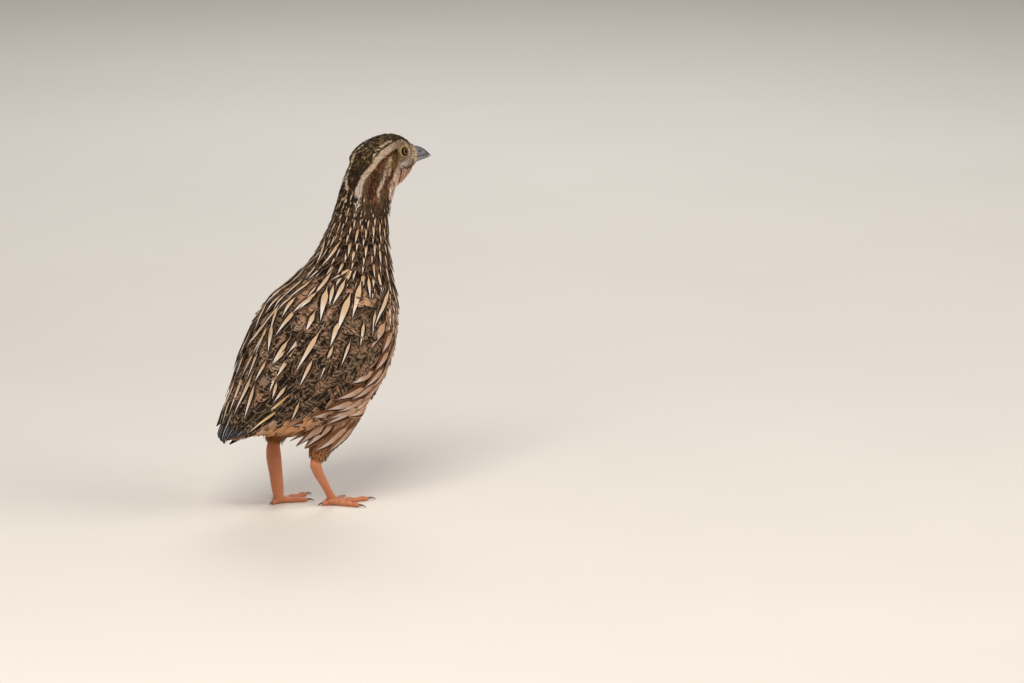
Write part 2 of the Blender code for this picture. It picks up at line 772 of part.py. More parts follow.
def make_claw(side_name, index):
    """Curved, tapered claw ahead of a toe's end."""
    leg = LEGS[side_name]
    points, radii, way = toe_points(leg, index)
    root = points[-1] + way * GAP
    length = CLAW_LENGTHS[index]
    line = []
    sizes = []
    for k in range(CLAW_STEPS + 1):
        share = k / CLAW_STEPS
        drop = (root.z - CLAW_TIP_HEIGHT) * share**CLAW_DROP
        bow = CLAW_BOW * math.sin(math.pi * share)
        line.append(root + way * (length * share) + Vector((0.0, 0.0, bow - drop)))
        sizes.append(radii[-1] * CLAW_ROOT_SHARE * (1 - CLAW_TAPER * share))
    return tube("claw_%s_%d" % (side_name, index + 1), line, sizes, 1)


def finish(part, look):
    """Material, smooth shading and the shift that puts the origin under the bird."""
    part.data.transform(part.matrix_world)
    part.matrix_world = Matrix.Identity(4)
    part.data.transform(Matrix.Translation((-STAND[0] * MM, -STAND[1] * MM, 0.0)))
    part.data.materials.clear()
    part.data.materials.append(look)
    part.data.shade_smooth()
    part.data.set_sharp_from_angle(angle=SMOOTH_ANGLE)
    bpy.context.scene.collection.objects.unlink(part)
    bpy.data.collections["coturnix_quail"].objects.link(part)


def material(name, colour, roughness):
    """Principled material that isn't a metal."""
    look = bpy.data.materials.new(name)
    look.use_nodes = True
    shader = look.node_tree.nodes["Principled BSDF"]
    shader.inputs["Base Color"].default_value = (*colour, 1.0)
    shader.inputs["Roughness"].default_value = roughness
    shader.inputs["Metallic"].default_value = 0.0
    return look


def main():
    for old in list(bpy.data.objects):
        bpy.data.objects.remove(old)
    group = bpy.data.collections.new("coturnix_quail")
    bpy.context.scene.collection.children.link(group)
    plumage = material("plumage", (0.22, 0.16, 0.11), 0.85)
    flight = material("flight_feathers", (0.13, 0.10, 0.08), 0.7)
    horn = material("bill_horn", (0.16, 0.17, 0.18), 0.4)
    eye = material("eye", (0.06, 0.05, 0.03), 0.08)
    leg_skin = material("leg_skin", (0.62, 0.33, 0.22), 0.5)
    claw = material("claw_horn", (0.25, 0.17, 0.13), 0.45)
    finish(make_head(), plumage)
    finish(make_neck(), plumage)
    finish(make_torso(), plumage)
    finish(make_tail(), flight)
    finish(make_bill_upper(), horn)
    finish(make_bill_lower(), horn)
    for side in (-1, 1):
        finish(make_wing(side), flight)
        finish(make_eye(side), eye)
    for side_name in LEGS:
        finish(make_thigh(side_name), plumage)
        finish(make_tarsus(side_name), leg_skin)
        finish(make_foot(side_name), leg_skin)
        for index in range(4):
            finish(make_claw(side_name, index), claw)


main()
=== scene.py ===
"""Looks of the coturnix quail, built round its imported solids: one skin under a coat of feathers,
each a thin closed vane bent over the skin, and the bill, eyes, lids, scaled legs and claws.

Places are in millimetres in the design's own coordinates until a mesh is made, which is in metres
in the solids' frame: +Z up, +X where the body is heading, +Y the bird's left. Angles round the
body and the head are from the middle of the back, above 0 on the left.

Short names: s and a are a distance along the body and an angle from its back, h is places in the
head's frame, t and r are tilt and turn over a ball, and n is the nodes of a material.
"""

import math
from functools import partial

import bpy
import numpy as np
from mathutils import Matrix, Vector
from mathutils.bvhtree import BVHTree
from mathutils.kdtree import KDTree


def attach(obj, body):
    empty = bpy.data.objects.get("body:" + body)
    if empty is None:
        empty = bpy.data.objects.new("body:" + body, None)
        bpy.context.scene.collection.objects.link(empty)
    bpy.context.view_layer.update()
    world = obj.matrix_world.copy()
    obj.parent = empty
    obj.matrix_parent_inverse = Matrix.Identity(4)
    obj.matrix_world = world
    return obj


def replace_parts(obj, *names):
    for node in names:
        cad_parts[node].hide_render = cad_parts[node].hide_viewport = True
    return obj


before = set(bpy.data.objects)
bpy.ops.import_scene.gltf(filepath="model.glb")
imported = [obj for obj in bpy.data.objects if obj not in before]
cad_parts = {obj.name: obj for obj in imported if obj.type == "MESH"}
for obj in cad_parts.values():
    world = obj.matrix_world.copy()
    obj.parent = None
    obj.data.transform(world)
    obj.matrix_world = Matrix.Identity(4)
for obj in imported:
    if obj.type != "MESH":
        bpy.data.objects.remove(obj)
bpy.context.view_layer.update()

MM = 0.001
STAND = np.array([2.5, 0.0, 0.0])
SEED = 7

# The body's, head's and wing's tables, as in the solids
BODY_STATIONS = [
    (-56.0, 33.5, 4.5, 1.5, 1.5),
    (-50.0, 38.0, 9.0, 4.0, 3.5),
    (-43.0, 43.0, 14.5, 9.5, 8.0),
    (-34.0, 48.0, 21.0, 16.5, 16.0),
    (-22.0, 54.5, 28.0, 24.6, 26.0),
    (-9.0, 62.5, 32.5, 30.6, 32.5),
    (3.0, 72.5, 33.0, 32.2, 32.0),
    (12.0, 85.0, 29.5, 28.4, 28.5),
    (17.5, 97.0, 24.5, 22.3, 23.5),
    (21.0, 107.5, 19.5, 17.8, 17.5),
    (23.5, 117.0, 15.9, 15.6, 14.0),
    (26.0, 126.5, 13.2, 13.8, 12.0),
    (28.5, 135.5, 11.8, 13.4, 10.9),
    (31.0, 143.5, 10.8, 13.0, 12.0),
    (33.8, 150.0, 9.4, 11.5, 10.3),
]
HEAD_PLACE = (33.8, 0.0, 152.5)
HEAD_TURN = math.radians(-10)
HEAD_NOD = math.radians(-4)
HEAD_STATIONS = [
    (-12.4, 1.5, 1.5, 1.5),
    (-11.0, 5.0, 4.2, 5.5),
    (-7.0, 8.4, 7.5, 9.5),
    (0.0, 10.0, 10.3, 13.0),
    (6.0, 9.4, 11.1, 14.0),
    (11.0, 7.6, 10.3, 12.6),
    (15.0, 5.6, 8.0, 9.4),
    (18.0, 4.0, 5.4, 6.4),
    (19.3, 3.5, 4.1, 4.7),
]
BILL_STATIONS = [
    (19.6, 3.1, 3.7, -1.3, -4.1),
    (21.5, 2.8, 3.2, -1.2, -3.8),
    (23.5, 2.3, 2.2, -1.3, -3.5),
    (25.5, 1.7, 0.7, -1.7, -3.2),
    (27.2, 1.0, -1.0, -2.2, -2.9),
    (28.2, 0.35, -2.3, -2.8, -2.7),
]
LOWER_BILL_END = 27.4
NOSTRIL_PLACE = (21.8, 1.1)
WING_STATIONS = [
    (11.5, 84.0, 98.0),
    (16.0, 66.0, 110.0),
    (24.0, 46.0, 115.0),
    (34.0, 32.0, 116.0),
    (45.0, 27.0, 109.0),
    (57.0, 27.0, 96.0),
    (70.0, 33.0, 90.0),
    (82.0, 46.0, 97.0),
    (90.0, 64.0, 102.0),
    (93.5, 82.0, 94.0),
]
EYE_FORWARD = 11.0
EYE_ANGLE = math.radians(71)
EYE_RADIUS = 3.3
EYE_DEPTH = 2.4
LEGS = {
    "right": {
        "side": -1,
        "thigh": [(3.0, 14.0, 55.0, 12.0), (-1.5, 15.6, 46.0, 12.0), (-7.0, 15.8, 37.0, 9.8),
                  (-11.3, 15.3, 28.5, 5.6), (-14.0, 14.9, 20.8, 2.9)],
        "foot": (-0.5, 9.5, 3.6),
        "shank": (2.5, 2.6, 2.4, 2.0, 2.0, 2.2),
        "toes": (-12, 27, -62, 168),
    },
    "left": {
        "side": 1,
        "thigh": [(1.0, 13.0, 57.0, 12.0), (-4.0, 13.6, 48.0, 11.5), (-9.5, 13.5, 39.0, 9.0),
                  (-14.0, 13.0, 31.5, 5.6), (-16.8, 12.0, 24.4, 2.9)],
        "foot": (-16.5, 8.5, 3.6),
        "shank": (2.7, 3.1, 3.4, 3.1, 2.4, 2.2),
        "toes": (10, -28, 52, 192),
    },
}
TOE_LENGTHS = (19.0, 13.5, 14.0, 4.5)
TOE_JOINTS = (3, 2, 4, 1)
TOE_RADII = (1.45, 1.0)
CLAW_LENGTHS = (3.8, 3.2, 3.2, 2.0)
# Steps along and round an outline, for its slopes, and a larger one round it for the chart
SLOPE_STEP = 0.5
SLOPE_ANGLE = 0.02
CHART_ANGLE = 0.05

# Skin: the voxels that join its parts and how often it is smoothed, where its tail starts and how
# far before the hock its thighs end, the solids that have feathers, and the least and most that
# they are taken to stand over it
SKIN_VOXEL = 0.9
SKIN_SMOOTHING = 9
TAIL_SKIN_START = 5.0
THIGH_SKIN_END = 2.6
PLUMED_NODES = ("head", "neck", "torso", "tail", "wing_left", "wing_right", "thigh_left", "thigh_right")
LEAST_ROOM = 0.45
MOST_ROOM = 4.5


def srgb(red, green, blue):
    """Linear colour of an ordinary one, from 0 to 255."""
    return np.array([((c / 255 + 0.055) / 1.055) ** 2.4 for c in (red, green, blue)])


def between(first, second, share):
    """What lies at a share of the way from the first value or colour to the second."""
    return first * (1 - share) + second * share


# The black of all markings and of the feathers' darkened roots (partly painted shadow), and what a feather
# has where nothing else is painted on it
BLACK = srgb(20, 13, 8)
BROWN = srgb(112, 90, 70)
GREY_BROWN = srgb(136, 118, 98)
CREAM = srgb(236, 220, 186)
# The skin under the feathers is darker than they are
THIGH_SKIN = srgb(214, 180, 154) * 0.7
SKIN_SHADE = 0.8


class Line:
    """A table of values along a line, read between its stations on a smooth curve.

    Distances are the first column, or are measured along the first measured columns.
    """

    def __init__(self, rows, measured=0):
        self.rows = np.array(rows, float)
        self.knots = self.rows[:, 0]
        if measured:
            steps = np.linalg.norm(np.diff(self.rows[:, :measured], axis=0), axis=1)
            self.knots = np.concatenate([[0.0], np.cumsum(steps)])
        self.slopes = np.gradient(self.rows, self.knots, axis=0)
        self.end = self.knots[-1]

    def at(self, distance):
        distance = np.clip(np.asarray(distance, float), self.knots[0], self.end)
        i = np.minimum(np.searchsorted(self.knots, distance, side="right") - 1, len(self.knots) - 2)
        span = (self.knots[i + 1] - self.knots[i])[..., None]
        u = (distance - self.knots[i])[..., None] / span
        start = (2 * u**3 - 3 * u**2 + 1) * self.rows[i] + (u**3 - 2 * u**2 + u) * span * self.slopes[i]
        end = (3 * u**2 - 2 * u**3) * self.rows[i + 1] + (u**3 - u**2) * span * self.slopes[i + 1]
        return start + end


BODY = Line(BODY_STATIONS, 2)
HEAD = Line(HEAD_STATIONS)
BILL = Line(BILL_STATIONS)
WING = Line(WING_STATIONS)
HEAD_FRAME = np.array(Matrix.Translation(HEAD_PLACE) @ Matrix.Rotation(HEAD_TURN, 4, "Z")
                      @ Matrix.Rotation(HEAD_NOD, 4, "Y"))
HEAD_BACK = np.linalg.inv(HEAD_FRAME)


def unit(vectors):
    return vectors / np.maximum(np.linalg.norm(vectors, axis=-1, keepdims=True), 1e-9)


def smooth(value, low, high):
    """0 below low, 1 above high and a smooth step between; low may be the higher one."""
    t = np.clip((value - low) / (high - low), 0.0, 1.0)
    return t * t * (3 - 2 * t)


def from_head(points):
    return points @ HEAD_FRAME[:3, :3].T + HEAD_FRAME[:3, 3]


def to_head(points):
    return points @ HEAD_BACK[:3, :3].T + HEAD_BACK[:3, 3]


def body_outline(distance, angle):
    """Points on the plumage's outline, at an angle from the back."""
    distance, angle = np.broadcast_arrays(np.asarray(distance, float), np.asarray(angle, float))
    here = BODY.at(distance)
    step = unit((BODY.at(distance + SLOPE_STEP) - BODY.at(distance - SLOPE_STEP))[..., :2])
    height = np.where(np.cos(angle) > 0, here[..., 3], here[..., 4]) * np.cos(angle)
    beyond = np.minimum(distance, 0.0)
    x = here[..., 0] - step[..., 1] * height + step[..., 0] * beyond
    z = here[..., 1] + step[..., 0] * height + step[..., 1] * beyond
    return np.stack([x, here[..., 2] * np.sin(angle), z], -1)


def head_outline(forward, angle):
    """Points on the head's outline, at an angle from the crown."""
    forward, angle = np.broadcast_arrays(np.asarray(forward, float), np.asarray(angle, float))
    here = HEAD.at(forward)
    height = np.where(np.cos(angle) > 0, here[..., 2], here[..., 3]) * np.cos(angle)
    return from_head(np.stack([forward, here[..., 1] * np.sin(angle), height], -1))


def leg_line(name):
    """The thigh's middle line with its radius, and the hock and foot, in the design's place."""
    leg = LEGS[name]
    rows = [(x, leg["side"] * y, z, radius) for x, y, z, radius in leg["thigh"]]
    foot = np.array([leg["foot"][0], leg["side"] * leg["foot"][1], leg["foot"][2]])
    return Line(rows, 3), np.array(rows[-1][:3]), foot


THIGHS = {name: leg_line(name)[0] for name in LEGS}
THIGH_TAGS = {2: "right", 3: "left"}


def thigh_outline(name, distance, angle):
    """Points on the thigh's outline; the angle is round its middle line from straight ahead."""
    line = THIGHS[name]
    distance, angle = np.broadcast_arrays(np.asarray(distance, float), np.asarray(angle, float))
    here = line.at(distance)
    along = unit((line.at(distance + SLOPE_STEP) - line.at(distance - SLOPE_STEP))[..., :3])
    across = unit(np.cross(along, np.array([1.0, 0.0, 0.0])))
    ahead = np.cross(across, along)
    turn = ahead * np.cos(angle)[..., None] + across * np.sin(angle)[..., None]
    return here[..., :3] + turn * here[..., 3:4]


def outward(outline, distance, angle):
    """Directions square to an outline, away from it."""
    along = outline(distance + SLOPE_STEP, angle) - outline(distance - SLOPE_STEP, angle)
    middle = (outline(distance, angle) + outline(distance, angle + np.pi)) / 2
    here = outline(distance, angle)
    round_it = outline(distance, angle + SLOPE_ANGLE) - outline(distance, angle - SLOPE_ANGLE)
    normal = unit(np.cross(along, round_it))
    facing = np.sign(np.sum(normal * (here - middle), axis=-1, keepdims=True))
    return normal * np.where(facing == 0, 1.0, facing)


def wing_angle(distance, share):
    """Angle from the back at a share of the wing's breadth from its upper edge."""
    row = WING.at(distance)
    return np.radians(row[..., 1] + (row[..., 2] - row[..., 1]) * share)


def wing_share(distance, angle):
    row = WING.at(distance)
    return (np.degrees(angle) - row[..., 1]) / (row[..., 2] - row[..., 1])


def over_wing(distance, angle):
    """1 on the folded wing's patch of the body, fading to 0 round it."""
    share = wing_share(distance, np.abs(angle))
    inside = smooth(share, -0.15, 0.02) * smooth(share, 1.08, 0.98)
    return inside * smooth(distance, 9.0, 14.0) * smooth(distance, 96.0, 90.0)


def body_depth(distance, angle):
    """How deep the skin lies under the plumage's outline."""
    depth = 1.7 - 0.7 * smooth(distance, 100.0, 140.0) + 0.3 * smooth(np.abs(angle), 1.9, 2.6)
    depth = depth + 1.0 * over_wing(distance, angle)
    return depth * (0.35 + 0.65 * smooth(distance, 3.0, 14.0))


def head_depth(forward, angle):
    return 0.75 - 0.4 * smooth(forward, 8.0, 19.0)


def thigh_depth(distance, angle):
    return 1.0 + 0 * distance


def put_in_scene(name, data):
    """New object that shows a mesh, a light or a camera."""
    item = bpy.data.objects.new(name, data)
    bpy.context.scene.collection.objects.link(item)
    return item


def make_mesh(name, points, faces):
    """Mesh object of points in millimetres in the design's coordinates."""
    mesh = bpy.data.meshes.new(name)
    mesh.from_pydata(((points - STAND) * MM).tolist(), [], faces)
    mesh.update()
    return put_in_scene(name, mesh)


def store(mesh, name, values):
    """Values at the mesh's points for its material, one number or four each."""
    values = np.asarray(values, np.float32).reshape(len(mesh.vertices), -1)
    kind, field = ("FLOAT", "value") if values.shape[1] == 1 else ("FLOAT_COLOR", "color")
    mesh.attributes.new(name, kind, "POINT").data.foreach_set(field, values.ravel())


def lay_map(mesh, name, places):
    """UV map that gives each of the mesh's points a place."""
    corners = read(mesh.loops, "vertex_index", 1, np.int32)
    mesh.uv_layers.new(name=name).uv.foreach_set("vector", places[corners].astype(np.float32).ravel())


def ring_faces(rows, count, closed_ends=True, start=0):
    """Squares between rings of equal count, with a flat cap at each end."""
    faces = []
    for row in range(rows - 1):
        for k in range(count):
            after = (k + 1) % count
            near = start + row * count
            faces.append((near + k, near + after, near + count + after, near + count + k))
    if closed_ends:
        faces.append(tuple(start + k for k in range(count))[::-1])
        faces.append(tuple(start + (rows - 1) * count + k for k in range(count)))
    return faces


class Chart:
    """Every place on the skin by its part, its distance along it and its angle round it."""

    def __init__(self):
        self.points = []
        self.tags = []
        self.coordinates = []
        self.slopes = []
        self.add(0, body_outline, np.arange(1.0, BODY.end, 1.0), body_depth)
        self.add(1, head_outline, np.arange(-12.2, 19.2, 0.6), head_depth)
        for tag, name in THIGH_TAGS.items():
            self.add(tag, partial(thigh_outline, name), np.arange(9.0, THIGHS[name].end, 0.7), thigh_depth)
        self.points = np.concatenate(self.points)
        self.tags = np.concatenate(self.tags)
        self.coordinates = np.concatenate(self.coordinates)
        self.slopes = np.concatenate(self.slopes)
        self.tree = KDTree(len(self.points))
        for k, point in enumerate(self.points):
            self.tree.insert(point, k)
        self.tree.balance()

    def add(self, tag, outline, distances, depth):
        angles = np.radians(np.arange(-180, 180, 3.0))
        d, a = (v.ravel() for v in np.meshgrid(distances, angles, indexing="ij"))
        normal = outward(outline, d, a)
        self.points.append(outline(d, a) - normal * np.asarray(depth(d, a))[..., None])
        self.tags.append(np.full(len(d), tag))
        self.coordinates.append(np.stack([d, a], -1))
        along = outline(d + SLOPE_STEP, a) - outline(d - SLOPE_STEP, a)
        round_it = (outline(d, a + CHART_ANGLE) - outline(d, a - CHART_ANGLE)) / (2 * CHART_ANGLE)
        self.slopes.append(np.stack([along, round_it], 1))

    def locate(self, points):
        """Part, distance and signed angle of points near the skin."""
        found = np.array([self.tree.find(point)[1] for point in points])
        gap = points - self.points[found]
        slopes = self.slopes[found]
        share = np.einsum("ni,nki->nk", gap, slopes) / np.maximum(np.sum(slopes**2, -1), 0.04)
        return self.tags[found], self.coordinates[found] + np.clip(share, -1.0, 1.0)


def make_skin():
    """One closed skin over tail, torso, neck, head and thighs, without a seam."""
    points = []
    faces = []

    def add(outline, distances, depth):
        angles = np.radians(np.arange(0, 360, 6.0))
        d, a = np.meshgrid(distances, np.where(angles > np.pi, angles - 2 * np.pi, angles), indexing="ij")
        normal = outward(outline, d, a)
        rings = outline(d, a) - normal * np.asarray(depth(d, a))[..., None]
        faces.extend(ring_faces(len(distances), len(angles), True, sum(len(p) for p in points)))
        points.append(rings.reshape(-1, 3))

    add(body_outline, np.arange(TAIL_SKIN_START, BODY.end, 1.5), body_depth)
    add(head_outline, np.append(np.arange(-12.0, 19.0, 0.8), 19.2), head_depth)
    for name in LEGS:
        last = THIGHS[name].end - THIGH_SKIN_END
        add(partial(thigh_outline, name), np.append(np.arange(0.0, last, 1.5), last), thigh_depth)
    rough = make_mesh("skin", np.concatenate(points), faces)
    remesh = rough.modifiers.new("Voxels", "REMESH")
    remesh.mode = "VOXEL"
    remesh.voxel_size = SKIN_VOXEL * MM
    soften = rough.modifiers.new("Soften", "SMOOTH")
    soften.factor = 0.5
    soften.iterations = SKIN_SMOOTHING
    bpy.context.view_layer.update()
    mesh = bpy.data.meshes.new_from_object(rough.evaluated_get(bpy.context.evaluated_depsgraph_get()))
    bpy.data.objects.remove(rough)
    mesh.shade_smooth()
    return put_in_scene("skin", mesh)


class Guide:
    """The skin as feathers feel it: its nearest point and smooth normal to any place."""

    def __init__(self, skin):
        mesh = skin.data
        mesh.calc_loop_triangles()
        self.points = read(mesh.vertices, "co", 3).reshape(-1, 3) / MM + STAND
        self.normals = unit(read(mesh.vertices, "normal", 3).reshape(-1, 3))
        self.triangles = read(mesh.loop_triangles, "vertices", 3, np.int32).reshape(-1, 3)
        self.tree = BVHTree.FromPolygons(self.points.tolist(), self.triangles.tolist())
        corners = []
        for name in PLUMED_NODES:
            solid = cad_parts[name].data
            solid.calc_loop_triangles()
            points = read(solid.vertices, "co", 3).reshape(-1, 3) / MM + STAND
            corners.append(points[read(solid.loop_triangles, "vertices", 3, np.int32)])
        corners = np.concatenate(corners)
        triples = np.arange(len(corners)).reshape(-1, 3)
        self.solids = BVHTree.FromPolygons(corners.tolist(), triples.tolist())

    def nearest(self, point):
        place, _, face, _ = self.tree.find_nearest(point)
        corners = self.triangles[face]
        normal = self.normals[corners].sum(0)
        return np.array(place), normal / np.linalg.norm(normal)

    def room(self, place, normal):
        """How far the solids' outside stands over the skin there."""
        hit, _, _, far = self.solids.ray_cast(place + normal * MOST_ROOM, -normal, MOST_ROOM)
        return LEAST_ROOM if hit is None else max(LEAST_ROOM, min(MOST_ROOM - far, MOST_ROOM - 0.8))

    def scatter(self, number, draw, chosen):
        """Places spread by chance over the skin between its chosen points."""
        corners = self.points[self.triangles[chosen[self.triangles].all(1)]]
        start = corners[:, 0]
        one, other = corners[:, 1] - start, corners[:, 2] - start
        area = np.linalg.norm(np.cross(one, other), axis=1)
        chosen = draw.choice(len(area), number, p=area / area.sum())
        a, b = draw.random((2, number, 1))
        flip = a + b > 1
        a, b = np.where(flip, 1 - a, a), np.where(flip, 1 - b, b)
        return start[chosen] + one[chosen] * a + other[chosen] * b


def read(items, name, size, kind=np.float32):
    values = np.empty(len(items) * size, kind)
    items.foreach_get(name, values)
    return values.astype(float) if kind is np.float32 else values


def thin_out(points, radii):
    """Keeps points no closer to an earlier one than their radius."""
    cell = float(radii.max())
    grid = {}
    kept = []
    for k, (point, radius) in enumerate(zip(points, radii)):
        key = tuple((point // cell).astype(int))
        near = [other for dx in (-1, 0, 1) for dy in (-1, 0, 1) for dz in (-1, 0, 1)
                for other in grid.get((key[0] + dx, key[1] + dy, key[2] + dz), ())]
        if near and np.min(np.sum((points[near] - point) ** 2, axis=1)) < radius**2:
            continue
        grid.setdefault(key, []).append(k)
        kept.append(k)
    return np.array(kept)


# Markings of the head and upper neck, as lines over its right side in the head's frame, forward,
# out from the middle and up, in millimetres; the left side mirrors them
SUPERCILIUM = [(17.6, 2.4, 2.6), (16.9, 2.8, 4.3), (14.5, 3.6, 6.2), (11.8, 4.2, 7.2), (6.7, 6.4, 6.6),
               (3.5, 7.3, 5.8), (-0.3, 8.0, 4.5), (-3.5, 8.3, 2.5), (-5.9, 8.2, -0.2), (-8.3, 7.8, -2.6),
               (-10.9, 7.7, -5.0), (-12.8, 7.8, -7.8), (-14.2, 8.1, -11.0), (-15.0, 9.3, -15.5)]
MEDIAN = [(-4.5, 0.0, 8.6), (-7.8, 0.0, 6.0), (-9.9, 0.0, 4.0), (-11.2, 0.0, 2.0), (-12.7, 0.0, -2.7),
          (-14.5, 0.3, -4.8), (-15.7, 1.4, -7.0), (-16.8, 3.3, -10.5)]
CROWN_SIDE = [(5.7, 5.0, 8.3), (3.5, 5.3, 8.2), (1.2, 6.0, 7.4), (-1.7, 6.5, 6.3), (-4.1, 7.1, 4.6),
              (-5.7, 7.3, 3.1)]
CROWN_DARK = [(6.2, 5.4, 7.6), (3.3, 6.1, 7.3), (1.0, 6.7, 6.5), (-1.9, 7.2, 5.3), (-4.5, 7.7, 3.4)]
EAR_BAND = [(7.1, 7.4, 4.4), (5.0, 7.9, 4.4), (1.2, 8.6, 3.2), (-1.4, 9.0, 1.1), (-3.7, 8.8, -1.7),
            (-6.1, 9.0, -4.0)]
NECK_PATCH = [(-6.4, 9.4, -5.0), (-7.6, 9.9, -7.4), (-8.8, 10.3, -9.8), (-9.0, 11.0, -12.8),
              (-9.2, 11.5, -16.0)]
OLIVE_EAR = [(5.8, 8.2, 2.9), (4.6, 8.8, 0.7), (3.9, 8.9, -1.6)]
EAR_DROP = [(0.7, 9.1, -1.4), (-1.3, 9.3, -5.2), (-4.0, 10.4, -8.8), (-6.1, 11.1, -11.9),
            (-7.0, 11.5, -15.5)]
SECOND_LINE = [(3.6, 8.6, -4.0), (2.5, 8.3, -6.7), (-1.1, 9.9, -8.8), (-2.3, 10.4, -10.7),
               (-1.9, 10.5, -14.0), (-1.1, 10.1, -17.5)]
NECK_PALE = [(6.5, 8.0, -4.3), (5.1, 7.6, -6.7), (3.5, 7.5, -9.7), (1.4, 8.9, -12.3), (0.2, 9.5, -15.5)]
THROAT_LINE = [(8.3, 7.5, -4.2), (8.2, 6.7, -6.7), (8.0, 4.7, -10.3)]
CHEEK = [(16.9, 4.0, 0.0), (14.5, 5.2, -1.6), (11.5, 6.5, -2.2), (8.7, 7.6, -2.2)]
MOUSTACHE = [(17.1, 3.8, -1.7), (15.8, 3.8, -4.2), (12.7, 5.4, -4.9), (9.6, 7.1, -3.4)]
EYE_LINE = [(14.8, 5.0, 4.9), (12.0, 5.6, 5.8), (8.8, 6.9, 5.4)]


def near_line(points, line):
    """Distance of points to a line of straight stretches, and the nearest places on it."""
    corners = np.array(line, float)
    starts, steps = corners[:-1], np.diff(corners, axis=0)
    gap = points[:, None] - starts[None]
    share = np.clip(np.sum(gap * steps, -1) / np.sum(steps**2, -1), 0, 1)
    near = starts + share[..., None] * steps
    away = np.linalg.norm(points[:, None] - near, axis=-1)
    best = away.argmin(1)
    rows = np.arange(len(points))
    return away[rows, best], near[rows, best]


class Looks:
    """Colours and pattern of a set of feathers, or of the points of their vanes."""

    def __init__(self, count):
        self.ground = np.tile(BROWN, (count, 1))
        self.bars = np.zeros(count)
        self.streak = np.tile(CREAM, (count, 1))
        self.streak_width = np.zeros(count)
        self.edge = np.tile(GREY_BROWN, (count, 1))
        self.edge_strength = np.zeros(count)
        self.blotch = np.zeros(count)

    def paint(self, share, **values):
        """Moves the named values toward new ones by a share from 0 to 1 of each row."""
        share = np.clip(np.asarray(share, float) * np.ones(len(self.bars)), 0, 1)
        for name, value in values.items():
            old = getattr(self, name)
            amount = share[:, None] if old.ndim == 2 else share
            setattr(self, name, old + (np.asarray(value) - old) * amount)

    def blend(self, share, other):
        self.paint(share, **vars(other))

    def repeated(self, times):
        copy = Looks(0)
        for name, value in vars(self).items():
            setattr(copy, name, np.repeat(value, times, axis=0))
        return copy


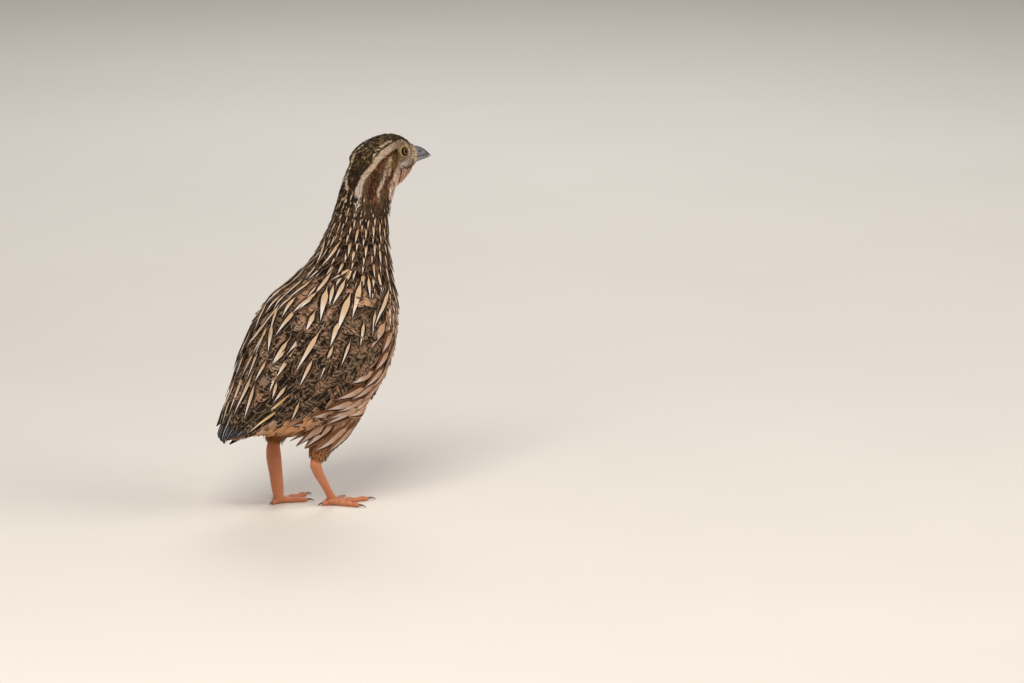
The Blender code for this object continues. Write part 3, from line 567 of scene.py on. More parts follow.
def head_looks(guide, points, luck):
    """Markings at places on the head and upper neck; luck is each feather's own chance number."""
    h = to_head(np.array([guide.tree.find_nearest(point)[0] for point in points]))
    h = h + 0.13 * np.sin(2.3 * h[:, [2, 0, 1]] + 6.3 * luck[:, None])
    h[:, 1] = np.abs(h[:, 1])
    looks = Looks(len(h))
    tone = (0.84 + 0.32 * ((luck * 7.0) % 1.0))[:, None]
    odd = (luck * 13.0) % 1.0

    def either(main, other, some):
        """The main colour, and the other one on some of the feathers."""
        return np.where((odd > some)[:, None], main, other)

    def line(way, width, soft=0.3, some=1.0, **values):
        away, _ = near_line(h, way)
        looks.paint(smooth(away, width + soft, width - soft) * some, blotch=0.0, **values)

    looks.paint(1, ground=srgb(50, 35, 24) * tone, edge=srgb(128, 100, 74), edge_strength=0.5)
    side = smooth(h[:, 0], -2.0, 3.0)
    looks.paint(side, ground=srgb(204, 172, 146) * tone, edge=srgb(150, 110, 80), edge_strength=0.15)
    face = smooth(h[:, 0], 7.5, 9.5)
    looks.paint(face, ground=srgb(214, 186, 158) * tone, edge=srgb(190, 165, 145), edge_strength=0.1)
    chin = smooth(h[:, 2], -5.0, -6.2) * smooth(h[:, 0], 4.0, 6.5)
    looks.paint(chin, ground=srgb(226, 190, 164) * (0.9 + 0.1 * tone), edge=srgb(220, 178, 150))
    away, near = near_line(h, SUPERCILIUM)
    lie = smooth(near[:, 0], -10.0, -2.0)
    above = between(near[:, 0] - h[:, 0], h[:, 2] - near[:, 2], lie)
    top = smooth(above, -0.3, 0.5)
    olive = smooth(odd, 0.34, 0.50)[:, None] * smooth(h[:, 2], -4.0, 2.0)[:, None]
    crown = between(srgb(34, 24, 15), srgb(116, 94, 60), olive)
    looks.paint(top, ground=crown * tone, edge=srgb(140, 116, 82), edge_strength=0.1 + 0.5 * (odd > 0.8),
                blotch=0.9)
    nape = top * smooth(h[:, 2], 1.0, -3.0)
    looks.paint(nape, ground=srgb(22, 13, 8) * tone, edge=srgb(104, 80, 56), edge_strength=0.2)
    fleck = srgb(128, 98, 70)
    looks.paint(nape * (odd > 0.86), ground=fleck, edge=fleck)
    marks = (
        (OLIVE_EAR, 2.1, 0.7, srgb(124, 96, 56) * tone, srgb(98, 74, 44), 0.25),
        (EAR_BAND, 1.15, 0.45, either(srgb(42, 24, 12), srgb(124, 80, 44), 0.25) * tone,
         srgb(104, 62, 32), 0.4),
        (NECK_PATCH, 2.2, 0.9, either(srgb(36, 22, 13), srgb(108, 66, 36), 0.28) * tone,
         srgb(96, 64, 42), 0.3),
        (EAR_DROP, 0.8, 0.3, either(srgb(206, 182, 160), srgb(96, 64, 44), 0.3), srgb(120, 86, 60), 0.4),
        (NECK_PALE, 1.25, 0.3, srgb(214, 194, 178) * tone, srgb(180, 150, 128), 0.3),
        (SECOND_LINE, 1.05, 0.4, srgb(86, 48, 26) * tone, srgb(130, 90, 62), 0.25),
        (THROAT_LINE, 0.65, 0.3, srgb(96, 46, 20) * tone, srgb(130, 80, 50), 0.2),
        (CHEEK, 1.1, 0.3, srgb(244, 232, 222) * tone, srgb(200, 178, 162), 0.15),
        (MOUSTACHE, 0.5, 0.3, srgb(76, 52, 38), srgb(150, 124, 104), 0.4),
    )
    for way, width, soft, ground, edge, strength in marks:
        line(way, width, soft, ground=ground, edge=edge, edge_strength=strength)
    lore = smooth(h[:, 0], 15.6, 16.8) * smooth(h[:, 2], 1.0, 2.0) * smooth(h[:, 2], 5.2, 4.4)
    looks.paint(lore, ground=srgb(178, 152, 118) * tone, edge=srgb(150, 124, 92), edge_strength=0.3)
    fringe = smooth(h[:, 0], 16.8, 17.8)
    bristle = either(srgb(176, 148, 116), srgb(112, 98, 84), 0.4)
    looks.paint(fringe, ground=bristle * tone, edge_strength=0.1)
    line(EYE_LINE, 0.35, 0.25, ground=srgb(66, 50, 34))
    line(CROWN_DARK, 0.35, 0.2, ground=srgb(28, 21, 16), edge_strength=0)
    buff = srgb(188, 166, 138)
    line(CROWN_SIDE, 0.5, 0.2, odd > 0.2, ground=buff, edge=buff, edge_strength=0.2)
    width = 0.95 + 0.45 * smooth(h[:, 0], 15.0, 9.0) - 0.25 * smooth(h[:, 0], 1.0, -6.0)
    width = width + 0.4 * smooth(h[:, 2], -7.0, -11.0)
    brow = smooth(away, width + 0.28, width - 0.28)
    white = smooth(h[:, 2], -4.0, -9.0)[:, None]
    pale = between(srgb(190, 167, 144), srgb(196, 179, 166), white)
    end = smooth(h[:, 2] + 3.0 * (odd - 0.5), -14.5, -12.0)
    looks.paint(brow * end, ground=pale * (0.6 + 0.4 * tone), edge=srgb(160, 134, 108), edge_strength=0.12,
                blotch=0.0)
    buff = srgb(208, 180, 152)
    line(MEDIAN, 0.8, 0.2, odd > 0.25, ground=buff, edge=buff, edge_strength=0.2)
    return looks


def body_looks(distance, angle, draw):
    """Ground markings at places on the body, by distance along it and angle from the back."""
    s, a = distance, np.degrees(np.abs(angle))
    count = len(s)
    looks = Looks(count)
    tone = draw.uniform(0.75, 1.25, (count, 1))
    warm = smooth(draw.random(count), 0.25, 0.85)[:, None]
    mantle = smooth(s, 78.0, 88.0)[:, None]
    rump = between(srgb(142, 118, 96), srgb(162, 120, 94), warm)
    back = between(rump, between(srgb(150, 122, 100), srgb(176, 128, 100), warm), mantle)
    looks.paint(1, ground=back * tone, bars=draw.uniform(0.2, 1.0, count), edge=srgb(164, 136, 112),
                edge_strength=0.5, blotch=draw.uniform(0.2, 1.0, count) * (1 - 0.85 * mantle[:, 0]))
    shoulder = smooth(s, 86.0, 93.0) * smooth(s, 106.0, 99.0)
    shoulder = shoulder * smooth(a, 20.0, 35.0) * smooth(a, 90.0, 75.0)
    looks.paint(shoulder * 0.8, ground=srgb(178, 136, 110) * tone, bars=0.8, blotch=0.05)
    neck = smooth(s, 102.5, 108.0)
    looks.paint(neck, ground=srgb(92, 66, 48) * tone, bars=0.25, edge=srgb(146, 112, 84), edge_strength=0.4,
                blotch=0.75, streak=srgb(200, 183, 166), streak_width=draw.uniform(0.15, 0.27, count))
    front = neck * smooth(a, 125.0, 160.0)
    looks.paint(front, ground=srgb(140, 114, 94) * tone, edge=srgb(184, 156, 132), edge_strength=0.5,
                blotch=0.15)
    breast = smooth(s, 109.0, 100.0) * smooth(a, 92.0, 108.0)
    fade = smooth(s, 100.0, 86.0)
    looks.paint(breast, ground=srgb(150, 112, 84) * tone, bars=0, edge=srgb(196, 168, 144),
                edge_strength=0.3, blotch=0.3 * smooth(a, 150.0, 110.0), streak=srgb(226, 214, 202),
                streak_width=0.3 * (1 - 0.8 * fade))
    under = np.maximum(smooth(a, 126.0, 140.0) * smooth(s, 100.0, 88.0),
                       smooth(a, 106.0, 116.0) * smooth(s, 46.0, 38.0))
    rear = smooth(s, 60.0, 42.0)[:, None]
    pale = between(srgb(212, 180, 156), srgb(200, 148, 106), rear)
    looks.paint(under, ground=pale * (0.6 + 0.4 * tone), bars=0, edge=pale * 1.1, edge_strength=0.3,
                blotch=0, streak_width=0.0)
    return looks


class Feathers:
    """A growing list of feathers with the numbers that give each its shape and markings."""

    def __init__(self):
        self.rows = []

    def add(self, roots, targets, length, width, low, over, looks, unwrap, **shape):
        """Feathers from roots toward targets. low is the root's lift over the skin, and over the
        tip's lift over the solids. looks are the feathers', or a function of points and chance."""
        values = {"stiff": 0.25, "round": 25.0, "point": 0.0, "camber": 0.14, "roll": 0.0, "curl": 0.0,
                  "rise": 0.8}
        values.update(shape, length=length, width=width, low=low, over=over)
        values = {name: np.broadcast_to(value, (len(roots),)) for name, value in values.items()}
        self.rows.append((np.asarray(roots), np.asarray(targets), values, looks, unwrap))


# Steps along a vane and columns over it, for the small feathers and the large ones, how much its
# sides vary, its thickness, and the angle from which a fold in it is sharp
VANE_STEPS = {"small": (6, 3), "large": (13, 7)}
RAGGED = 0.16
VANE_THICKNESS = 0.13
VANE_CREASE = math.radians(70)
# Side of a vane's patch of the unwrap, and the millimetres that 1 stands for in a stored size
PATCH = 0.003
SIZE_SCALE = 20.0


def walk(guide, root, target, length, low, over, stiff, rise, steps):
    """Middle line of a vane from its root over the skin toward a target, and its normals."""
    place, normal = guide.nearest(root)
    reach = min(1.0, length / np.linalg.norm(target - root))
    end, end_normal = guide.nearest(root + (target - root) * reach)
    high = guide.room(end, end_normal) + over
    at = place + normal * min(low, 0.8 * high)
    way = target - at
    points = [at]
    normals = [normal]
    step = length / (steps - 1)
    for k in range(1, steps):
        share = k / (steps - 1)
        wanted = low + (high - low) * share**rise
        aim = target - at
        if aim @ aim > (0.3 * length) ** 2:
            way = aim
        if stiff < 1:
            way = way - normal * (way @ normal)
        way = way / (np.linalg.norm(way) + 1e-9)
        ahead = at + way * step
        place, fresh = guide.nearest(ahead)
        height = (ahead - place) @ fresh
        pull = 1.0 if height < wanted else 1 - stiff
        ahead = ahead + fresh * (wanted - height) * pull
        way = ahead - at
        way = way / (np.linalg.norm(way) + 1e-9)
        turned = normal + (fresh - normal) * (0.3 + 0.7 * pull)
        normal = turned - way * (turned @ way)
        normal = normal / np.linalg.norm(normal)
        at = ahead
        points.append(at)
        normals.append(normal)
    return points, normals


def vane_profile(share, point):
    """Half width of a vane at shares of its length; point makes it lanceolate."""
    root = 0.35 + 0.65 * smooth(share, 0.0, 0.42)
    rounded = np.sqrt(np.clip(1 - (np.clip(share - 0.55, 0, 1) / 0.46) ** 2.2, 0.01, 1))
    lance = 1 - np.clip((share - 0.25) / 0.77, 0, 1) ** 1.5
    return root * (rounded * (1 - point) + lance * point)


def vane_faces(number, steps, ring):
    """Squares of closed vanes, whose last column is the middle line of the lower side."""
    each = steps * ring
    first, last = ring - 1, each - 1
    one = ring_faces(steps, ring, False)
    for k in range(0, first - 1, 2):
        far = each - ring + k
        one += [(first, k + 2, k + 1, k), (far, far + 1, far + 2, last)]
    return (np.array(one)[None] + (np.arange(number) * each)[:, None, None]).reshape(-1, 4)


def square_mesh(name, points, faces):
    """Mesh of many squares, filled in one go."""
    mesh = bpy.data.meshes.new(name)
    mesh.vertices.add(len(points))
    mesh.vertices.foreach_set("co", ((points - STAND) * MM).astype(np.float32).ravel())
    mesh.loops.add(faces.size)
    mesh.loops.foreach_set("vertex_index", faces.ravel().astype(np.int32))
    mesh.polygons.add(len(faces))
    mesh.polygons.foreach_set("loop_start", np.arange(0, faces.size, 4, dtype=np.int32))
    mesh.update(calc_edges=True)
    return mesh


def make_coat(name, feathers, guide, kind, look, draw):
    """One mesh of all the feathers, each a closed vane of thin upper and lower faces."""
    steps, count = VANE_STEPS[kind]
    columns = np.linspace(-1.0, 1.0, count)
    ring = count + 1
    each = steps * ring
    share = np.linspace(0, 1, steps)[None, :]
    blocks = []
    for roots, targets, values, looks, unwrap in feathers.rows:
        number = len(roots)
        shapes = zip(roots, targets, *(values[name] for name in ("length", "low", "over", "stiff", "rise")))
        lines = [walk(guide, *shape, steps) for shape in shapes]
        middle = np.array([line[0] for line in lines])
        normal = np.array([line[1] for line in lines])
        across = unit(np.cross(normal, np.gradient(middle, axis=1)))
        half = values["width"][:, None] / 2 * vane_profile(share, values["point"][:, None])
        middle = middle + normal * (values["curl"][:, None] * share**3)[..., None]
        verts = np.empty((number, steps, ring, 3))
        for k, c in enumerate(columns):
            rim = 1 + RAGGED * (draw.random((number, steps)) - 0.6) * (abs(c) == 1)
            w = half * rim
            drop = values["camber"][:, None] * w * c * c + (c * w) ** 2 / (2 * values["round"][:, None])
            tilt = values["roll"][:, None] * c * smooth(share, 0, 0.5)
            verts[:, :, k] = middle + across * (c * w)[..., None] + normal * (tilt - drop)[..., None]
        verts[:, :, -1] = middle - normal * (VANE_THICKNESS * (1.3 - share))[..., None]
        vane = np.empty((number, steps, ring, 2))
        vane[..., 0] = share[..., None]
        vane[..., 1] = np.append((columns + 1) / 2, 0.5)
        patch = np.asarray(unwrap)[:, None, None, :] + (vane - 0.5) * PATCH
        upside = across[:, steps // 2, 2] > 0
        vane[upside, ..., 1] = 1 - vane[upside, ..., 1]
        luck = draw.random(number)
        points = verts.reshape(-1, 3)
        looks = looks(guide, points, np.repeat(luck, each)) if callable(looks) else looks.repeated(each)
        size = np.column_stack([values["length"] / SIZE_SCALE, values["width"] / SIZE_SCALE, luck])
        blocks.append((points, patch.reshape(-1, 2), vane.reshape(-1, 2),
                       np.column_stack([looks.ground, looks.bars]),
                       np.column_stack([looks.streak, looks.streak_width]),
                       np.column_stack([looks.edge, looks.edge_strength]),
                       np.column_stack([np.repeat(size, each, axis=0), looks.blotch])))
    points, patch, vane, *colours = (np.concatenate(parts) for parts in zip(*blocks))
    number = len(points) // each
    faces = vane_faces(number, steps, ring)
    mesh = square_mesh(name, points, faces)
    lay_map(mesh, "OFBake", patch)
    lay_map(mesh, "vane", vane)
    for layer, values in zip(("ground", "streak", "edge", "shape"), colours):
        store(mesh, layer, values)
    mesh.shade_smooth()
    mesh.set_sharp_from_angle(angle=VANE_CREASE)
    mesh.materials.append(look)
    piece = put_in_scene(name, mesh)
    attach(piece, "root")
    print(name, number, "feathers", 2 * len(faces), "triangles")
    return piece


def unwrap_of(tag, distance, angle):
    """Place on the unwrap: the body on the left, the head and the thighs on the right.

    tag is each place's part, or one for all, with 0 for the body and 1 for the head.
    """
    turn = angle / (2 * np.pi) + 0.5
    u = np.where(tag == 0, 0.02 + 0.60 * turn, 0.66 + 0.32 * turn)
    v = np.where(tag == 0, 0.02 + 0.96 * distance / BODY.end,
                 np.where(tag == 1, 0.60 + 0.38 * (distance + 12.6) / 32.0,
                          0.04 + 0.27 * (tag - 2) + 0.24 * distance / 40.0))
    return np.clip(np.stack([u, v], -1), 0.005, 0.995)


def stretch(s, a):
    """Millimetres on the outline for one of distance along the body."""
    along = body_outline(s + SLOPE_STEP, a) - body_outline(s - SLOPE_STEP, a)
    return np.maximum(np.linalg.norm(along, axis=-1), 0.35)


def columns_on_body(first, last, angles, step, draw, jitter=0.12):
    """Places in staggered columns down the body, each at its own angle from the back.

    step gives the distance to the next feather in millimetres, at a distance.
    """
    places = []
    for k, angle in enumerate(np.radians(angles)):
        s = first - (0.5 * step(first) if k % 2 else 0.0)
        while s > last:
            places.append((s, angle))
            s -= step(s) / stretch(s, angle)
    places = np.array(places)
    spread = draw.normal(0, jitter, places.shape)
    places[:, 0] += spread[:, 0] * step(places[:, 0])
    places[:, 1] += spread[:, 1] * np.radians(np.diff(angles).mean())
    return places


def tips_on_body(s, a, length, drift=0.0):
    """Targets a length down the body from places, with a drift of the angle on the way."""
    here = np.array(s, float)
    angle = np.array(a, float)
    for _ in range(6):
        here = here - length / 6 / stretch(here, angle)
        angle = angle + np.sign(angle) * drift / 6
    return body_outline(here, angle)


def on_skin(points, guide, limit=1.6):
    """Which places under the outline really lie on the skin and not inside it."""
    return np.array([np.linalg.norm(guide.nearest(p)[0] - p) < limit for p in points])


def skin_place(s, a):
    return body_outline(s, a) - outward(body_outline, s, a) * body_depth(s, a)[..., None]


def body_tract(coat, guide, places, sizes, lifts, draw, change=None, drift=0.0, stray=0.07, **shape):
    """Adds body feathers at places on both sides.

    sizes gives their length and width at distances and angles, lifts is the root's and the tip's,
    and change may paint more on their looks.
    """
    s = np.concatenate([places[:, 0], places[:, 0]])
    a = np.concatenate([places[:, 1], -places[:, 1]])
    roots = skin_place(s, a)
    keep = on_skin(roots, guide)
    s, a, roots = s[keep], a[keep], roots[keep]
    length, width = sizes(s, np.abs(a))
    length = length * draw.uniform(0.88, 1.12, len(s))
    width = width * draw.uniform(0.9, 1.1, len(s))
    looks = body_looks(s, a, draw)
    upper = smooth(to_head(roots)[:, 2], -20.0, -16.0)
    if upper.max() > 0:
        looks.blend(upper, head_looks(guide, roots, draw.random(len(s))))
    if change:
        change(looks, s, np.degrees(np.abs(a)))
    targets = tips_on_body(s, a, length * 1.4, drift)
    targets = targets + draw.normal(0, stray, roots.shape) * length[:, None]
    values = {"round": np.maximum(8.0, BODY.at(s)[:, 2]), "roll": draw.normal(0, 0.16, len(s)),
              "curl": draw.uniform(-0.1, 0.2, len(s))}
    values.update(shape)
    coat.add(roots, targets, length, width, lifts[0], lifts[1] + draw.uniform(-0.25, 0.2, len(s)),
             looks, unwrap_of(0, s, a), **values)


def neck_coat(guide, draw):
    """Dark neck feathers, each with a pale wedge from a broad buff root to a white point."""
    coat = Feathers()
    spread = 14.4

    def step(s):
        return 5.0 - 1.9 * smooth(s, 112.0, 140.0)

    def sizes(s, a):
        return step(s) * 2.1, BODY.at(s)[:, 2] * np.radians(spread) * 1.55

    def streaked(looks, s, a):
        nape = smooth(a, 75.0, 50.0) * smooth(s, 132.0, 136.0)
        looks.paint(nape, streak=srgb(204, 182, 158), streak_width=0.2)

    places = columns_on_body(145.0, 103.0, np.arange(5.0, 180.0, spread), step, draw)
    places = places[places[:, 0] < 137.0 + 9.0 * smooth(np.degrees(places[:, 1]), 70.0, 40.0)]
    body_tract(coat, guide, places, sizes, (0.3, 0.1), draw, streaked, stray=0.055, camber=0.16, point=0.25,
               roll=0.0, curl=0.0)
    return coat


def breast_coat(guide, draw):
    """Breast feathers, with a pale streak that fades toward the belly."""
    coat = Feathers()
    places = columns_on_body(107.0, 84.0, np.arange(98.0, 181.0, 8.2), lambda s: 3.8, draw)
    body_tract(coat, guide, places, lambda s, a: (9.5, 5.4), (0.1, 0.0), draw,
               roll=0.0, curl=0.0)
    return coat


def belly_coat(guide, draw):
    """Soft plain feathers under the body, from the breast back to the vent."""
    coat = Feathers()
    for first, last, angles in ((88.0, 22.0, np.arange(126.0, 181.0, 6.4)),
                                (50.0, 20.0, np.arange(104.0, 128.0, 6.4))):
        places = columns_on_body(first, last, angles, lambda s: 3.6, draw, 0.25)
        body_tract(coat, guide, places, lambda s, a: (9.0, 5.0), (0.1, 0.0), draw, point=0.4)
    return coat


# Rows of flank feathers: distance of the first and last root along the body, the step between
# them, and the angle from the back of the first, middle and last root in degrees
FLANK_ROWS = (
    (84.0, 47.0, 8.0, (127.0, 132.0, 141.0)),
    (87.0, 44.0, 8.0, (114.0, 120.0, 133.0)),
    (90.0, 41.0, 8.0, (101.0, 108.0, 124.0)),
)
# Plumes over the right thigh and behind it, mirrored to the left: a place near the root, the tip
# and the width
THIGH_PLUMES = (
    ((-9.0, -18.0, 43.0), (-23.5, -13.5, 31.0), 6.6),
    ((-12.0, -15.0, 41.0), (-25.5, -12.0, 33.5), 6.0),
    ((-6.0, -19.0, 43.0), (-20.0, -14.5, 29.5), 6.0),
    ((-3.0, -20.0, 43.0), (-16.5, -15.5, 28.0), 6.6),
    ((0.0, -24.0, 42.0), (-12.5, -19.5, 28.0), 6.6),
    ((3.0, -28.0, 52.0), (-14.8, -23.0, 41.0), 7.4),
)
LEFT_PLUMES_SHIFT = np.array([-4.0, -2.0, 1.0])


def flank_change(looks, s, a):
    """Broad pale streak with black beside it and chestnut sides, all paler lower down."""
    low = smooth(a, 122.0, 138.0)
    tone = 0.85 + 0.25 * ((s * 0.37) % 1.0)[:, None]
    looks.paint(1, ground=srgb(120, 76, 46) * tone, bars=0.0, blotch=0.1, edge=srgb(84, 54, 34),
                edge_strength=0.25, streak=srgb(192, 176, 170), streak_width=0.52)
    looks.paint(low, ground=srgb(172, 130, 102) * (0.5 + 0.5 * tone), streak=srgb(194, 168, 152),
                blotch=0.0, edge=srgb(150, 114, 90), streak_width=0.5)


def flank_coat(guide, draw):
    """Large flank feathers in rows from the belly up, and long plumes over the thighs."""
    coat = Feathers()
    rows = []
    for first, last, step, angles in FLANK_ROWS:
        s = first
        while s > last:
            angle = np.radians(tier_tip(angles, (first - s) / (first - last)))
            rows.append((s, angle))
            s -= step / stretch(s, angle)
    places = np.array(rows) + draw.normal(0, 1, (len(rows), 2)) * np.array([0.5, 0.01])
    body_tract(coat, guide, places, lambda s, a: (17.5 - 3.0 * smooth(s, 84.0, 98.0), 7.8),
               (1.2, 0.5), draw, flank_change, drift=-0.24, stray=0.03, point=0.85, camber=0.14, rise=0.4)
    for side in (-1, 1):
        roots, tips, width = (np.array(part, float) for part in zip(*THIGH_PLUMES))
        if side > 0:
            roots, tips = (v * np.array([1, -1, 1]) + LEFT_PLUMES_SHIFT for v in (roots, tips))
        roots = np.array([guide.nearest(root)[0] for root in roots])
        count = len(roots)
        looks = Looks(count)
        flank_change(looks, 2.7 * np.arange(count), np.full(count, 126.0))
        unwrap = unwrap_of(0, np.full(count, 55.0), side * np.linspace(2.0, 2.4, count))
        coat.add(roots, tips, np.linalg.norm(tips - roots, axis=1), width, 1.0, 0.7, looks, unwrap,
                 point=0.6, camber=0.14, rise=0.4, round=14.0, stiff=1.0 if side < 0 else 0.5)
    return coat


def back_coat(guide, draw):
    """Mantle and lower back: mottled brown feathers under the pale wedges."""
    coat = Feathers()

    def mantle_sizes(s, a):
        return 9.5 - 2 * smooth(s, 96, 106), 5.6 - 1.2 * smooth(s, 90, 106)

    def lower_sizes(s, a):
        return 11.0, 6.4 - 1.5 * smooth(s, 30, 12)

    mantle = columns_on_body(106.0, 84.0, np.arange(3.0, 100.0, 7.6), lambda s: 3.6, draw)
    body_tract(coat, guide, mantle, mantle_sizes, (0.1, -0.1), draw, stray=0.1, roll=0.0, curl=0.0)
    lower = columns_on_body(86.0, 24.0, np.arange(3.0, 50.0, 8.0), lambda s: 4.4, draw)
    lower = lower[np.degrees(lower[:, 1]) < WING.at(lower[:, 0])[:, 1] + 6]
    body_tract(coat, guide, lower, lower_sizes, (0.1, -0.1), draw, stray=0.1, roll=0.0, curl=0.0)
    return coat


# Pale wedges of back, shoulder and wing on the right side, mirrored to the left: the broad end
# and the point as distance along the body and angle from the back in degrees, and the width
WEDGES = (
    (97, 22, 82, 21, 1.6), (83, 21, 67, 20, 1.9), (73, 9, 57, 11, 1.6), (90, 6, 74, 4, 1.1),
    (75, 4, 60, 2, 1.1), (61, 2, 46, 9, 1.1), (79, 21, 62, 17, 2.2), (63, 17, 46, 13, 1.7),
    (90, 18, 82, 19, 0.9), (92, 35, 82, 40, 1.4), (103, 45, 95, 42, 1.2), (96, 42, 83, 42, 1.6),
    (86, 33, 68, 42, 2.4), (70, 33, 57, 36, 1.8), (49, 8, 39, 18, 1.7), (46, 0, 35, 3, 1.1),
    (36, 3, 25, 7, 1.1), (33, 19, 26, 20, 1.3), (25, 8, 12, 8, 1.5), (22, 29, 13, 48, 1.3),
    (115, 16, 104, 6, 1.3), (103, 71, 95, 75, 1.2), (106, 87, 99, 91, 1.2), (100, 64, 90, 70, 1.4),
    (96, 61, 82, 63, 2.1), (86, 55, 67, 59, 2.4), (71, 54, 59, 59, 1.8), (57, 48, 39, 55, 1.8),
    (55, 35, 39, 32, 2.3), (45, 26, 35, 26, 1.5), (41, 37, 29, 39, 1.6), (30, 55, 24, 59, 1.2),
    (59, 64, 45, 77, 1.1), (45, 58, 36, 67, 1.2), (66, 72, 56, 78, 1.1), (80, 76, 71, 80, 1.3),
    (88, 84, 80, 86, 1.2), (33, 35, 26, 45, 1.3), (29, 45, 25, 53, 1.1), (41, 28, 35, 26, 1.2),
    (103, 47, 86, 40, 1.4), (97, 100, 82, 89, 1.8), (103, 5, 95, 2, 1.0), (105, 40, 98, 27, 1.0),
    (31, 88, 27, 106, 1.0),
)


def wedge_feathers(guide, draw):
    """Narrow feathers over back, shoulder and wing, black beside a pale wedge."""
    coat = Feathers()
    rows = np.array(WEDGES, float)
    rows = np.concatenate([rows, rows * np.array([1, -1, 1, -1, 1])])
    rows[:, [1, 3]] = np.radians(rows[:, [1, 3]] + draw.normal(0, 0.5, (len(rows), 1)))
    start, turn, end, last_turn, wide = rows.T
    before = 0.5
    s = start + before * (start - end)
    a = turn + before * (turn - last_turn)
    roots = skin_place(s, a)
    tips = body_outline(end, last_turn)
    length = np.linalg.norm(tips - body_outline(s, a), axis=1)
    targets = body_outline(end - 0.3 * (s - end), last_turn + 0.3 * (last_turn - a))
    width = 2.8 + 1.6 * wide
    looks = Looks(len(s))
    warm = draw.random((len(s), 1))
    looks.paint(1, ground=between(srgb(66, 52, 42), srgb(100, 70, 50), warm), bars=0.7, blotch=0.6,
                edge=srgb(136, 110, 86), edge_strength=0.4, streak=srgb(218, 208, 198),
                streak_width=1.35 * wide / width)
    near_neck = smooth(start, 92.0, 104.0)
    coat.add(roots, targets, length, width, 1.9 - 1.3 * near_neck, 0.75 - 0.6 * near_neck, looks,
             unwrap_of(0, s, a), point=0.7, camber=0.22, curl=draw.uniform(-0.1, 0.1, len(s)),
             roll=draw.normal(0, 0.1, len(s)), rise=0.25)
    return coat


# Tiers of the folded wing: number of feathers, first and last share of its breadth, distance
# where the roots lie, first, middle and last tip, width, lift of root and tip, and how pointed
WING_TIERS = (
    ("primaries", 8, 0.60, 0.98, 44.0, (16.0, 11.5, 9.5), 6.0, 0.1, -0.7, 0.3),
    ("secondaries", 13, 0.42, 0.97, 60.0, (20.0, 24.0, 36.0), 6.8, 0.3, -0.5, 0.1),
    ("tertials", 7, 0.04, 0.40, 62.0, (27.0, 19.0, 16.0), 8.0, 0.7, -0.25, 0.3),
    ("greater", 14, 0.03, 1.0, 64.0, (42.0, 38.0, 48.0), 7.0, 0.7, -0.15, 0.1),
    ("middle_3", 14, 0.03, 1.0, 71.0, (52.0, 48.0, 56.0), 6.8, 0.8, -0.05, 0.1),
    ("middle_2", 14, 0.03, 1.0, 76.0, (59.0, 55.0, 62.0), 6.4, 0.8, 0.0, 0.1),
    ("middle_1", 13, 0.03, 1.0, 80.0, (65.0, 62.0, 67.0), 6.0, 0.9, 0.0, 0.0),
    ("lesser_5", 12, 0.03, 1.0, 83.5, (70.0, 68.0, 72.0), 5.6, 0.9, 0.0, 0.0),
    ("lesser_4", 11, 0.04, 0.98, 86.5, (74.5, 73.0, 76.0), 5.2, 0.9, 0.0, 0.0),
    ("lesser_3", 10, 0.05, 0.96, 89.0, (78.5, 77.5, 80.0), 4.8, 0.9, 0.0, 0.0),
    ("lesser_2", 8, 0.06, 0.94, 91.0, (82.0, 81.5, 83.5), 4.6, 0.9, 0.0, 0.0),
    ("lesser_1", 6, 0.10, 0.90, 93.0, (86.0, 85.0, 87.0), 4.4, 0.9, 0.0, 0.0),
)


def tier_tip(tips, share):
    """Value at a share of a tier, on the curve through its first, middle and last."""
    first, middle, last = tips
    return (first * (1 - share) * (1 - 2 * share) + 4 * middle * share * (1 - share)
            + last * share * (2 * share - 1))


def wing_coat(guide, side, draw):
    """Flight feathers and coverts of one folded wing, in tiers from the rear forward."""
    coat = Feathers()
    for name, count, first, last, root, tips, width, low, over, point in WING_TIERS:
        flight = name in ("primaries", "secondaries")
        loose = 0.4 if flight else 1.0
        k = np.arange(count) / (count - 1)
        share = first + (last - first) * (k + draw.normal(0, 0.3 * loose, count) / count)
        tip = tier_tip(tips, k) + draw.normal(0, 1.3 * loose, count)
        s = np.full(count, root) + draw.normal(0, 1.0, count)
        start = wing_angle(s, share) * side
        aside = draw.normal(0, 0.05, count) * loose
        path = [body_outline(s + (tip - s) * t, wing_angle(s + (tip - s) * t, share + aside * t) * side)
                for t in np.linspace(0, 1, 9)]
        length = np.linalg.norm(np.diff(path, axis=0), axis=-1).sum(0)
        beyond = tip - 0.35 * (s - tip)
        targets = body_outline(beyond, wing_angle(np.maximum(beyond, 2.0), share + 1.3 * aside) * side)
        coat.add(skin_place(s, start), targets, length, width * draw.uniform(0.88, 1.12, count), low,
                 over + draw.uniform(-0.15, 0.2, count), wing_looks(flight, root, count, draw),
                 unwrap_of(0, s, start), stiff=0.35, round=30.0, point=point, camber=0.1,
                 roll=-0.25 * side + draw.normal(0, 0.12 * loose, count),
                 curl=draw.uniform(-0.1, 0.35, count) * loose)
    return coat


